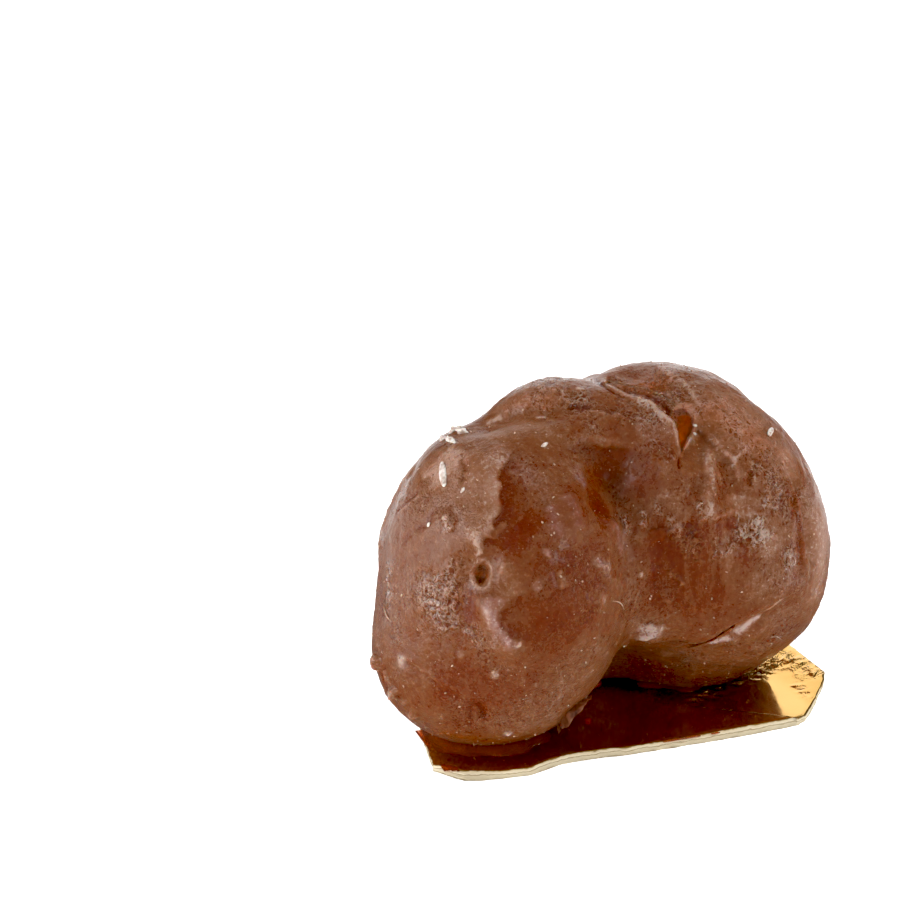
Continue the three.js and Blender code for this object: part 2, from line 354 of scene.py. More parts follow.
# The main breaks of the surface, drawn over the solid's own folds.
BREAKS = [
    Mark("brow crack", [(590, 374), (600, 382), (612, 389), (628, 398)], 0.45, height=-0.25, frost=-0.25,
         wash=0.35, ragged=0.08),
    # Painted highlight along the raised rim of the brow.
    Mark("brow rim painted highlight", [(630, 401), (643, 403), (654, 409), (663, 417), (670, 425)], 0.32, height=0.1,
         frost=0.42, ragged=0.06),
    # The crack's mouth is painted a bright orange, lighter than the flesh round it: painted light that glows
    # out of the shade in the cut.
    Mark("crack mouth", [(684, 412), (684, 424), (682.5, 436), (680.5, 450)], 1.0, frost=0.7, amber=1.8,
         ragged=0.0, taper=0.4),
    Mark("crack mouth glow", [(680, 404), (684, 412)], 1.0, frost=0.5, amber=0.5),
    Mark("crack tail", [(680, 454), (679, 462), (680, 470)], 0.2, height=-0.3, frost=-0.4, amber=0.4,
         ragged=0.03),
    Mark("crack right wall", [(696, 420), (696, 431), (690, 442), (685, 451)], 0.35, height=0.08, frost=0.2,
         ragged=0.1),
    Mark("temple edge", [(482, 549), (484, 540), (490, 532), (494, 521), (501, 511), (499, 500), (501, 488),
                         (498, 476), (506, 460), (516, 452)], 1.9, step=0.25, edge=0.16, ragged=0.1,
         divide=0.6),
    Mark("temple flake", [(505, 521), (499, 530), (492, 541)], 0.42, height=0.16, frost=0.3, ragged=0.1),
    Mark("lip edge", [(660, 650), (676, 647), (692, 644), (710, 639), (726, 630), (736, 622.5), (746, 618.5),
                      (760, 610), (782, 599.5), (792, 595)], 0.9, step=0.25, edge=0.2, ragged=0.03,
         divide=-0.1),
    Mark("lip slit", [(670, 650), (692, 646), (710, 641), (727, 632.5), (737, 625), (747, 620), (760, 612),
                      (782, 600.5)], 0.22, frost=-0.1, amber=0.8, ragged=0.0),
    # The strip of flesh below the lip stands a little proud; its pale colour is a painted highlight.
    Mark("lip strip painted highlight", [(733, 634), (740, 629), (750, 622), (763, 613)], 0.64, height=0.06, frost=0.62,
         amber=-0.4, ragged=0.03, taper=0.35, fibre=0.6),
    Mark("lip tip painted highlight", [(732, 635), (722, 640), (706, 645)], 0.55, height=0.06, frost=0.5, amber=-0.4,
         ragged=0.03, taper=0.3, fibre=0.6),
    Mark("lip end painted highlight", [(763, 612), (772, 606), (783, 600)], 0.16, height=0.1, frost=0.4, ragged=0.03),
    Mark("under lip", [(690, 660), (720, 658)], 0.9, frost=0.1, height=0.05),
    # The nub is a raised blob of glaze painted pale: partly the glaze's own frost, partly a painted
    # highlight.
    Mark("nub", [(651, 621), (649, 631), (646, 641)], 1.2, height=0.3, frost=0.58, amber=-0.4, ragged=0.2,
         fibre=0.8),
    Mark("nub collar", [(636, 655), (655, 658), (672, 652)], 0.5, frost=0.15, height=0.05),
    Mark("pit collar", [(473, 553), (478, 558)], 0.7, height=0.05, frost=0.22, ragged=0.1),
    Mark("pit", [(482, 570), (481, 577)], 0.7, frost=0.3, amber=1.4, ragged=0.0),
    Mark("pit rim", [(473, 563), (471, 573), (473, 582), (480, 587.5), (488, 585), (491.5, 576), (491, 567),
                     (486, 561), (479, 560.5), (473, 563)], 0.18, height=0.08, frost=0.4, ragged=0.03),
    Mark("teardrop", [(468, 532), (476, 539), (479, 547), (482, 556)], 0.38, height=0.12, frost=0.32,
         ragged=0.05),
    Mark("crescent", [(488, 590), (490, 604), (494, 620), (503, 636), (520, 647)], 0.95, height=0.2,
         frost=0.16, amber=-0.5, taper=0.6),
    Mark("crescent inner edge", [(530, 592), (514, 597), (503, 607), (496, 617), (500, 626), (510, 637),
                                 (526, 644)], 1.3, step=-0.16, edge=0.2, divide=-0.34, ragged=0.06),
    Mark("crescent crest", [(485, 600), (486, 612), (490, 622)], 0.25, height=0.06, frost=0.16),
    Mark("crescent end", [(517, 643), (521, 646)], 0.32, height=0.12, frost=0.5, ragged=0.05),
    Mark("right crease", [(790, 487), (796, 505), (799, 528), (801, 551), (800, 570)], 0.55, height=-0.3,
         frost=-0.12, amber=1.2, wet=0.2, ragged=0.06),
    Mark("right flap edge", [(808, 580), (807, 555), (804, 530), (801, 508), (794, 488), (785, 470)], 1.1,
         step=0.4, edge=0.2, ragged=0.06, divide=-0.25),
    Mark("right slit", [(748, 469), (751, 477), (754, 487)], 0.3, height=-0.25, frost=-0.4, amber=0.6),
    Mark("right ridge", [(706, 446), (709, 466), (709, 486), (707, 505), (705, 523)], 0.6, height=0.3,
         frost=0.24, ragged=0.1),
    Mark("right ridge tip", [(702, 503), (704, 522)], 0.4, height=0.14, frost=0.12, crackle=0.8),
    Mark("right ridge flute", [(709, 503), (708, 520)], 0.3, height=0.1, frost=0.1, crackle=0.8),
    Mark("cheek crease a", [(396, 512), (404, 504), (412, 497), (421, 490)], 0.3, height=-0.14, frost=-0.15,
         ragged=0.06),
    Mark("cheek crease a rim", [(398, 514), (406, 506), (414, 499), (423, 492)], 0.22, height=0.1,
         frost=0.22, ragged=0.06),
    Mark("cheek crease b", [(400, 545), (412, 532), (424, 524), (436, 512)], 0.4, height=-0.1, frost=-0.12,
         ragged=0.1),
    Mark("cheek crease c", [(398, 572), (410, 560), (424, 550)], 0.4, height=-0.08, frost=-0.1, ragged=0.1),
    Mark("cheek fold", [(448, 440), (455, 456), (458, 474), (455, 490)], 0.5, height=0.12, frost=0.12,
         crackle=0.2, ragged=0.2),
    Mark("cheek fold side", [(462, 452), (463, 470), (460, 488)], 0.45, height=-0.12, frost=-0.18,
         ragged=0.1),
    Mark("right groove", [(723, 455), (724, 480), (722, 508)], 0.95, height=-0.25, frost=-0.12, ragged=0.05),
    Mark("right groove foot", [(712, 517), (724, 515), (737, 509)], 0.35, height=0.12, frost=0.2,
         ragged=0.05),
    Mark("right groove pool", [(716, 524), (730, 521)], 0.7, height=-0.15, frost=-0.25, amber=0.8),
    Mark("crown fork", [(707, 434), (720, 448), (733, 462), (738, 480)], 0.3, height=0.12, frost=0.28,
         ragged=0.06),
    Mark("crown fork arm", [(733, 462), (740, 454), (747, 446)], 0.25, height=0.1, frost=0.25, ragged=0.05),
    Mark("crown line", [(654, 362), (666, 374), (683, 384), (692, 393), (699, 404)], 0.35, height=0.12,
         frost=0.32, ragged=0.1),
    Mark("crown patch", [(614, 380), (628, 388)], 0.6, height=0.05, frost=0.25, ragged=0.3),
    Mark("middle ridge", [(668, 514), (673, 526), (680, 538)], 0.45, height=0.22, frost=0.25, crackle=0.5,
         ragged=0.1),
    Mark("middle ridge trough", [(690, 520), (694, 540)], 0.6, height=-0.2, frost=-0.2),
    Mark("knob line", [(566, 411), (578, 408), (592, 408)], 0.25, height=-0.15, frost=-0.35, ragged=0.05),
    Mark("knob crease", [(497, 421), (515, 417), (540, 416), (560, 412)], 0.6, height=-0.15, frost=-0.05),
    Mark("knob streak", [(485, 426), (494, 420), (503, 415)], 0.3, height=0.1, frost=0.5, ragged=0.05),
    Mark("knob dash", [(534, 416.5), (547, 416)], 0.2, height=0.08, frost=0.5, ragged=0.03),
    Mark("knob blister", [(576, 388), (585, 392)], 0.3, height=0.14, frost=0.5, ragged=0.1),
    Mark("low step", [(400, 654), (415, 666), (428, 675), (443, 684), (461, 693)], 0.6, step=0.18, edge=0.12,
         frost=0.15, wash=0.25, ragged=0.12, divide=-0.12),
    Mark("foot dent", [(477, 702), (482, 710), (485, 720)], 0.5, height=-0.3, frost=-0.25, amber=0.6,
         ragged=0.08),
    Mark("foot dent side", [(472, 700), (470, 715), (472, 728)], 0.35, height=-0.15, frost=-0.15,
         ragged=0.08),
    Mark("left ledge", [(384, 672), (392, 690), (398, 702)], 0.35, height=0.25, frost=0.2),
    Mark("left bump", [(379, 655), (379, 667)], 0.7, height=0.65, frost=0.12),
    Mark("left bump notch", [(382, 678), (384, 682)], 0.4, height=-0.25),
    Mark("left bump low", [(392, 688), (397, 697)], 0.65, height=0.6, frost=0.12),
    Mark("left bump lower", [(409, 710), (415, 717)], 0.5, height=0.4),
    Mark("foot syrup", [(424, 722), (440, 732), (470, 739), (500, 742), (530, 739), (552, 733)], 0.5,
         frost=-0.1, amber=1.4, wet=0.8),
    Mark("foot syrup chips", [(430, 730), (455, 737)], 0.25, height=0.1, frost=0.25, ragged=0.2),
    Mark("foot syrup chip", [(532, 741), (545, 739)], 0.25, height=0.12, frost=0.45),
    Mark("left chip", [(404, 702)], 0.45, height=0.25, frost=0.15),
]

# Blisters and soft pale streaks where sugar has come out of the glaze, and the fibres' own ridges.
BLISTERS = [
    Mark("blister a", [(546, 546), (548, 558)], 0.42, height=0.16, frost=0.42, amber=-0.5, ragged=0.06),
    Mark("blister b", [(532, 582), (541, 588)], 0.65, height=0.14, frost=0.28, amber=-0.5),
    Mark("blister c", [(560, 570), (562, 580), (564, 591)], 0.36, height=0.12, frost=0.34, amber=-0.2,
         ragged=0.08),
    Mark("blister d", [(593, 554), (597, 562), (604, 574)], 0.5, height=0.18, frost=0.42, amber=-0.5,
         taper=1.6, ragged=0.08),
    Mark("blister e", [(603, 599)], 0.4, height=0.12, frost=0.36, ragged=0.08),
    Mark("blister f", [(502, 562), (504, 576)], 0.4, height=0.1, frost=0.25, ragged=0.1),
    Mark("blister g", [(494, 670), (496, 679)], 0.42, height=0.12, frost=0.4, ragged=0.08),
    Mark("blister h", [(461, 655)], 0.35, height=0.1, frost=0.35, ragged=0.1),
    Mark("blister i", [(640, 571), (642, 576)], 0.22, height=0.12, frost=0.5, ragged=0.05),
    Mark("blister k", [(441, 514), (445, 522), (449, 531)], 0.6, height=0.2, frost=0.28, crackle=0.6,
         ragged=0.2),
    Mark("blister l", [(668, 600)], 0.25, height=0.1, frost=0.35, ragged=0.05),
    Mark("blister m", [(662, 627)], 0.3, height=0.1, frost=0.2, ragged=0.1),
    Mark("white blob a", [(402, 663)], 0.45, height=0.2, frost=0.35, sugar=0.4),
    Mark("white blob b", [(508, 733)], 0.3, height=0.2, frost=0.35, sugar=0.5, ragged=0.0),
    Mark("mauve streak a", [(575, 466), (580, 478), (586, 490)], 0.5, height=0.1, frost=0.16, amber=-0.6),
    Mark("mauve streak b", [(546, 502), (552, 520), (560, 540)], 0.8, height=0.12, frost=0.12, amber=-0.6),
    Mark("mauve streak c", [(565, 490), (575, 510), (578, 530)], 0.6, height=0.1, frost=0.1, amber=-0.5),
    Mark("mauve streak d", [(608, 520), (616, 540), (622, 556)], 0.6, height=0.14, frost=0.12, amber=-0.6),
    Mark("mauve patch a", [(612, 489), (625, 482), (636, 470)], 0.8, height=0.12, frost=0.2, amber=-0.7),
    Mark("pale column", [(662, 455), (666, 480), (670, 505)], 0.8, height=0.12, frost=0.16),
    Mark("front ridge a", [(622, 514), (627, 526), (630, 536)], 0.35, height=0.18, frost=0.18, crackle=0.8,
         ragged=0.1),
    Mark("front ridge b", [(641, 508), (645, 518), (642, 530)], 0.35, height=0.16, frost=0.14, crackle=0.8,
         ragged=0.1),
    Mark("front ridge c", [(655, 500), (660, 516)], 0.35, height=0.14, frost=0.12, crackle=0.6),
    Mark("front chip line", [(622, 545), (634, 540), (647, 536)], 0.28, height=0.06, frost=0.12,
         crackle=0.3),
    Mark("orange dome", [(655, 530), (660, 540)], 1.1, height=0.2, frost=-0.2, amber=0.9),
    Mark("middle ridge low", [(670, 568), (676, 580), (682, 592)], 0.35, height=0.14, frost=0.22,
         crackle=0.4),
    Mark("middle rib a", [(655, 560), (657, 585), (652, 610)], 0.5, height=-0.12, frost=-0.08),
    Mark("middle rib b", [(690, 550), (694, 580), (690, 610)], 0.5, height=-0.12, frost=-0.08),
    Mark("middle rib c", [(712, 556), (716, 582), (712, 606)], 0.5, height=-0.1, frost=-0.06),
]

# Where the glaze has dried into a fine glistening crackle.
CRACKLES = [
    Mark("left crackle", [(440, 566), (440, 598), (448, 636)], 2.3, crackle=1.0, frost=0.1, ragged=0.5),
    Mark("left crackle top", [(452, 556), (458, 566)], 0.8, crackle=0.7, ragged=0.4),
    Mark("left crackle foot", [(466, 630), (482, 638)], 0.7, crackle=1.0, ragged=0.4),
    Mark("left rim crackle", [(390, 556), (388, 580), (386, 610)], 0.8, crackle=0.9, ragged=0.4),
    Mark("left rim low", [(392, 625), (400, 640)], 1.2, crackle=0.5, ragged=0.4),
    Mark("left rim high", [(398, 510), (410, 480)], 1.0, crackle=0.35, ragged=0.5),
    Mark("right crackle", [(736, 536), (750, 534), (768, 532)], 1.4, crackle=1.0, frost=0.26, ragged=0.5),
    Mark("right crackle high", [(760, 462), (776, 490), (780, 515)], 1.3, crackle=0.9, ragged=0.5),
    Mark("right crackle low", [(782, 556), (798, 564)], 0.9, crackle=1.0, frost=0.14, ragged=0.4),
    Mark("right crackle middle", [(715, 545), (728, 552)], 1.0, crackle=0.9, ragged=0.5),
    Mark("middle crackle", [(684, 526), (690, 548), (698, 560)], 1.1, crackle=0.8, ragged=0.4),
    Mark("crown crackle", [(720, 400), (752, 440), (782, 452)], 1.8, crackle=0.35, ragged=0.8),
    Mark("crown back crackle", [(670, 385), (700, 410)], 1.4, crackle=0.5, ragged=0.6),
    Mark("lobe crackle", [(662, 440), (664, 462)], 0.9, crackle=0.5, ragged=0.4),
    Mark("temple crackle", [(450, 442), (456, 460)], 0.7, crackle=0.3, ragged=0.4),
    Mark("dome specks", [(590, 620), (585, 600)], 1.6, crackle=0.3, ragged=0.6),
]

# The crackles whose flakes are the sharpest in the photograph, so that they get the finest mesh.
SHARP_CRACKLES = [mark for mark in CRACKLES if mark.name in (
    "left crackle", "right crackle", "right crackle high", "right crackle low")]

# The sides that the camera doesn't see.
HIDDEN = [
    Mark("back crack", [(178, 55), (170, 40), (160, 28), (152, 12), (150, -5)], 0.6, height=-0.5,
         frost=-0.35, amber=0.6),
    Mark("back crack edge", [(178, 55), (170, 40), (160, 28), (152, 12), (150, -5)], 1.2, step=0.4,
         ragged=0.25),
    Mark("back crack rim", [(174, 56), (165, 41), (155, 29), (147, 12)], 0.5, height=0.12, frost=0.35),
    Mark("back branch", [(160, 28), (145, 32), (130, 28)], 0.45, height=-0.35, frost=-0.3, amber=0.4),
    Mark("back left furrow", [(-130, 40), (-138, 20), (-150, 5), (-155, -15)], 0.8, height=-0.3, frost=-0.2,
         amber=0.4),
    Mark("back left ridge", [(-122, 36), (-128, 18), (-139, 3)], 0.7, height=0.22, frost=0.25),
    Mark("back clear pool", [(-170, 10), (-165, -10)], 3.5, frost=-0.3, amber=0.6),
    Mark("back clear side", [(125, -5), (115, 10)], 3.0, frost=-0.25, amber=0.6),
    Mark("back crackle", [(-175, 35), (-160, 25)], 2.4, crackle=0.9, frost=0.1, ragged=1.0),
    Mark("right end crackle", [(95, 15), (100, -5)], 2.2, crackle=0.9, frost=0.1, ragged=1.0),
    Mark("left end crackle", [(-110, 5), (-115, -15)], 2.2, crackle=0.9, frost=0.1, ragged=1.0),
    Mark("top crackle", [(120, 70), (-160, 72)], 2.2, crackle=0.6, ragged=1.0),
    Mark("back blister a", [(-178, -20)], 0.8, height=0.2, frost=0.4, ragged=0.4),
    Mark("back blister b", [(140, -18)], 0.6, height=0.15, frost=0.35, ragged=0.3),
    Mark("back blister c", [(-140, -25)], 0.7, height=0.18, frost=0.35, ragged=0.3),
    Mark("back blister d", [(-118, 25)], 0.5, height=0.14, frost=0.35, ragged=0.3),
    Mark("right end fold", [(80, -28), (95, -24), (112, -27), (128, -22)], 1.0, step=0.5, ragged=0.3),
    Mark("right end fold slit", [(82, -27), (95, -23), (112, -26)], 0.4, height=-0.3, frost=-0.4),
    Mark("left end streak", [(-95, 30), (-100, 15), (-98, 0)], 0.5, height=0.15, frost=0.25),
]
for mark in HIDDEN:
    mark.seen = False

ALL_MARKS = ZONES + BREAKS + BLISTERS + CRACKLES + HIDDEN

MARK_REACH = 2.4  # widths from its path, as far as a mark is worked into the skin
HEIGHT_FALL, WASH_FALL = 1.4, 1.2  # how fast its height and its washes fade away from the path
END_SHARE = 0.16  # of the path, over which a mark fades towards each end
END_STRENGTH = 0.15  # what is left of it there
RAGGED_SIZES = 1.6, 0.7  # mm, the large and the small bends of a ragged line


def smooth_path(path, step):
    """A path through the given points, rounded as a Catmull-Rom curve, with a point every step or so."""
    points = [np.array(p, float) for p in path]
    if len(points) == 1:
        return points
    ends = [2 * points[0] - points[1], *points, 2 * points[-1] - points[-2]]
    out = []
    for a, b, c, d in zip(ends, ends[1:], ends[2:], ends[3:]):
        count = max(1, math.ceil(np.linalg.norm(c - b) / step))
        for t in np.arange(count) / count:
            out.append(0.5 * (2 * b + (c - a) * t + (2 * a - 5 * b + 4 * c - d) * t ** 2
                              + (3 * b - a - 3 * c + d) * t ** 3))
    return out + [points[-1]]


class Skin:
    """The chestnut's skin while it is worked: points and normals in mm, and its washes."""

    def __init__(self, node):
        self.mesh = bmesh.new()
        self.mesh.from_mesh(node.data)
        bmesh.ops.remove_doubles(self.mesh, verts=self.mesh.verts, dist=1e-3 * MM)
        bmesh.ops.scale(self.mesh, vec=[1 / MM] * 3, verts=self.mesh.verts)
        self.solid = BVHTree.FromBMesh(self.mesh)

    def refine(self, keep, rounds):
        """Divides the edges whose two ends are kept, and smooths the skin in so many rounds."""
        self.mesh.verts.index_update()
        edges = [e for e in self.mesh.edges if keep[e.verts[0].index] and keep[e.verts[1].index]]
        bmesh.ops.subdivide_edges(self.mesh, edges=edges, cuts=1, use_grid_fill=True)
        bmesh.ops.triangulate(self.mesh, faces=[f for f in self.mesh.faces if len(f.verts) > 3])
        self.mesh.verts.index_update()
        for _ in range(rounds):
            self.smooth(self.mesh.verts)
        self.mesh.normal_update()

    def smooth(self, verts):
        """Moves points halfway to the middle of those next to them."""
        bmesh.ops.smooth_vert(self.mesh, verts=verts, factor=0.5, use_axis_x=True, use_axis_y=True,
                              use_axis_z=True)

    def points(self):
        return np.array([v.co for v in self.mesh.verts])

    def normals(self):
        return np.array([v.normal for v in self.mesh.verts])

    def beside(self, marks, margin):
        """The points that lie on the given marks, or within margin in mm of them."""
        at = self.points()
        keep = np.zeros(len(at), bool)
        for mark in marks:
            places, _ = self.route(mark)
            if len(places):
                reach = margin + mark.width
                for place in places[::3]:
                    keep |= ((at - place) ** 2).sum(1) < reach ** 2
        return keep

    def cut(self, cut):
        """Takes the skin inside a cut's outline back to its floor, straight away from the camera."""
        self.mesh.verts.ensure_lookup_table()
        at = self.points()
        pixels = pixel_of(at)
        share = ease(inside_by(pixels, cut.outline), 0, CUT_EDGE)
        sight = at - EYE
        far = np.linalg.norm(sight, axis=1)
        drop = share * (curved_level(cut.floor, pixels) - far).clip(0) * (1 - LAYER_SHARE)
        moved = np.flatnonzero(drop > 0)
        for number in moved:
            self.mesh.verts[number].co = at[number] + sight[number] / far[number] * drop[number]
        self.smooth([self.mesh.verts[n] for n in moved if 0 < share[n] < 1])
        self.mesh.normal_update()
        self.solid = BVHTree.FromBMesh(self.mesh)

    def settle(self):
        """Takes the refined points over as arrays, ready for the marks."""
        self.mesh.normal_update()
        self.at = self.points()
        self.rest = self.at.copy()
        self.out = self.normals()
        self.washes = {name: np.zeros(len(self.at)) for name in WASHES}

    def hit(self, pixel):
        """Where a pixel of the photograph meets the solid, and the solid's normal there, or None."""
        place, normal, _, _ = self.solid.ray_cast(Vector(EYE), Vector(ray_of(pixel)))
        return (np.array(place), np.array(normal)) if place else None

    def at_angles(self, angles):
        """Where a longitude and latitude round the heart meet the solid, and its normal there."""
        lon, lat = math.radians(angles[0]), math.radians(angles[1])
        ray = Vector((math.sin(lon) * math.cos(lat), -math.cos(lon) * math.cos(lat), math.sin(lat)))
        place, normal, _, _ = self.solid.ray_cast(Vector(HEART), ray)
        return np.array(place), np.array(normal)

    def route(self, mark):
        """The mark's path laid on the solid, with the normals along it."""
        if mark.seen:
            found = [self.hit(p) for p in smooth_path(mark.path, step=3)]
        else:
            found = [self.at_angles(p) for p in smooth_path(mark.path, step=1)]
        found = [f for f in found if f]
        return np.array([f[0] for f in found]), np.array([f[1] for f in found])

    def near(self, places, normals, reach, ragged, seed):
        """The points within reach of a route: their numbers, distance, side (left is positive) and
        how far along the route they are, from 0 to 1."""
        inside = (self.at > places.min(0) - reach) & (self.at < places.max(0) + reach)
        index = np.flatnonzero(inside.all(1))
        p = self.rest[index]
        if ragged:
            large, small = RAGGED_SIZES
            shift = [ripple(p, large, seed + k) + 0.5 * ripple(p, small, seed + 10 + k)
                     for k in range(3)]
            p = p + ragged * np.stack(shift, 1)
        if len(places) == 1:
            away = np.linalg.norm(p - places[0], axis=1)
            close = away < reach
            return index[close], away[close], away[close], np.full(close.sum(), 0.5)
        run = places[1:] - places[:-1]
        t, gap = to_runs(p, places[:-1], run)
        away = np.linalg.norm(gap, axis=2)
        best = away.argmin(1)
        rows = np.arange(len(p))
        left = np.cross(normals[:-1], run)
        side = np.sign(np.einsum("ij,ij->i", gap[rows, best], left[best]))
        along = (best + t[rows, best]) / len(run)
        away = away[rows, best]
        close = away < reach
        return index[close], away[close], side[close], along[close]

    def press(self, mark, seed):
        """Works one mark into the skin."""
        places, normals = self.route(mark)
        if not len(places):
            return
        washed = mark.wash or mark.width
        reach = MARK_REACH * max(mark.width, washed)
        index, away, side, along = self.near(places, normals, reach, mark.ragged, seed)
        ends = 1.0
        if len(places) > 1:
            ends = ease(along, 0, END_SHARE) * (1 - ease(along, 1 - END_SHARE, 1))
            ends = END_STRENGTH + (1 - END_STRENGTH) * ends
            ends = ends * (1 - ease(away, 0, reach) * ((along <= 0) | (along >= 1)))
        slim = 1 + (mark.taper - 1) * along
        body = np.exp(-((away / (mark.width * slim)) ** 2) * HEIGHT_FALL) * ends
        lift = mark.height * body
        if mark.step:
            lift = lift + 0.5 * mark.step * np.tanh(side * away / mark.edge) * body
        self.at[index] += self.out[index] * lift[:, None]
        glow = np.exp(-((away / (washed * slim)) ** 2) * WASH_FALL) * ends
        if mark.divide:
            self.washes["frost"][index] += 0.5 * mark.divide * np.tanh(side * away / mark.edge) * glow
        for name in WASHES:
            if getattr(mark, name):
                self.washes[name][index] += getattr(mark, name) * glow

    def to_object(self, name, material):
        """The worked skin as a Blender object in metres, with its washes as attributes."""
        for vert, place in zip(self.mesh.verts, self.at * MM):
            vert.co = place
        bmesh.ops.recalc_face_normals(self.mesh, faces=self.mesh.faces)
        data = bpy.data.meshes.new(name)
        self.mesh.to_mesh(data)
        self.mesh.free()
        data.polygons.foreach_set("use_smooth", [True] * len(data.polygons))
        for wash, amount in self.washes.items():
            set_values(data, wash, amount)
        data.materials.append(material)
        return new_object(name, data)


def hollows(data, spread):
    """How many mm each point of a mesh lies below the mean of the points up to spread edges away."""
    def read(items, field, width, kind=float):
        values = np.empty(len(items) * width, kind)
        items.foreach_get(field, values)
        return values.reshape(-1, width)

    at, out = read(data.vertices, "co", 3), read(data.vertex_normals, "vector", 3)
    a, b = read(data.edges, "vertices", 2, int).T
    number = np.bincount(a, minlength=len(at)) + np.bincount(b, minlength=len(at))

    def around(values):
        total = np.zeros_like(values)
        np.add.at(total, a, values[b])
        np.add.at(total, b, values[a])
        return total / (number[:, None] if values.ndim > 1 else number)

    mean = at
    for _ in range(spread):
        mean = around(mean)
    return around(((mean - at) * out).sum(1)) / MM


# ---- Geometry node trees ----
def new_tree(name, inputs):
    """An empty geometry tree and the sockets of its inputs. inputs gives their names, kinds and values."""
    tree = bpy.data.node_groups.new(name, "GeometryNodeTree")
    tree.interface.new_socket("Geometry", in_out="INPUT", socket_type="NodeSocketGeometry")
    for label, kind, value in inputs:
        socket = tree.interface.new_socket(label, in_out="INPUT", socket_type="NodeSocket" + kind)
        if value is not None:
            socket.default_value = value
    tree.interface.new_socket("Geometry", in_out="OUTPUT", socket_type="NodeSocketGeometry")
    return tree, add(tree, "NodeGroupInput").outputs


def grown(source, name, tree, values):
    """A new plain piece: what the tree makes of the source with these values."""
    modifier = source.modifiers.new(tree.name, "NODES")
    modifier.node_group = tree
    for item in tree.interface.items_tree:
        if item.item_type == "SOCKET" and item.in_out == "INPUT" and item.name in values:
            modifier[item.identifier] = values[item.name]
    depsgraph = bpy.context.evaluated_depsgraph_get()
    data = bpy.data.meshes.new_from_object(source.evaluated_get(depsgraph), depsgraph=depsgraph,
                                           preserve_all_data_layers=True)
    source.modifiers.remove(modifier)
    data.name = name
    return new_object(name, data)


def skin_relief():
    """Wrinkles, pimples and crackle: three sizes of noise that lift the skin along its normals. The
    wash named crackle makes the pimples stronger, and the crackle only rises where that wash is."""
    tree, given = new_tree("skin_relief", [
        ("Wrinkle size", "Float", 0.002), ("Wrinkle height", "Float", 0.0001),
        ("Pimple size", "Float", 0.001), ("Pimple height", "Float", 0.0001),
        ("Crackle size", "Float", 0.0005), ("Crackle height", "Float", 0.0001),
        ("Glaze", "Material", None)])
    place = add(tree, "GeometryNodeInputPosition")
    crackle = add(tree, "GeometryNodeInputNamedAttribute", {"Name": "crackle"}, data_type="FLOAT")
    made = {"crackle": add(tree, "ShaderNodeClamp", {0: crackle})}
    for label, detail in (("Wrinkle", 2.0), ("Pimple", 2.0), ("Crackle", 1.0)):
        scale = add(tree, "ShaderNodeMath", {0: 1.0, 1: given[label + " size"]}, operation="DIVIDE")
        made[label] = add(tree, "ShaderNodeTexNoise", {
            "Vector": place, "Scale": scale, "Detail": detail, "Roughness": 0.55, "Distortion": 0.3})
        made[label + " height"] = given[label + " height"]
    # Each step has the name of what it makes, its operation and its inputs: numbers or what is made.
    for name, operation, *inputs in (
            ("wrinkle", "SUBTRACT", "Wrinkle", 0.5),
            ("wrinkle", "MULTIPLY", "wrinkle", "Wrinkle height"),
            ("pimple", "SUBTRACT", "Pimple", 0.5),
            ("pimple", "MULTIPLY", "pimple", "Pimple height"),
            ("rough", "ADD", "crackle", 0.5),
            ("pimple", "MULTIPLY", "pimple", "rough"),
            ("flake", "SUBTRACT", "Crackle", 0.5),
            ("flake", "ABSOLUTE", "flake"),
            ("flake", "SUBTRACT", 0.12, "flake"),
            ("flake", "MULTIPLY", "flake", "Crackle height"),
            ("sharp", "MULTIPLY", "crackle", 4.0),
            ("flake", "MULTIPLY", "flake", "sharp"),
            ("lift", "ADD", "wrinkle", "pimple"),
            ("lift", "ADD", "lift", "flake")):
        made[name] = add(tree, "ShaderNodeMath", {n: made.get(i, i) for n, i in enumerate(inputs)},
                         operation=operation)
    offset = add(tree, "ShaderNodeVectorMath", {0: add(tree, "GeometryNodeInputNormal"),
                                                "Scale": made["lift"]}, operation="SCALE")
    moved = add(tree, "GeometryNodeSetPosition", {"Geometry": given["Geometry"], "Offset": offset})
    glazed = add(tree, "GeometryNodeSetMaterial", {"Geometry": moved, "Material": given["Glaze"]})
    add(tree, "NodeGroupOutput", {"Geometry": glazed})
    return tree


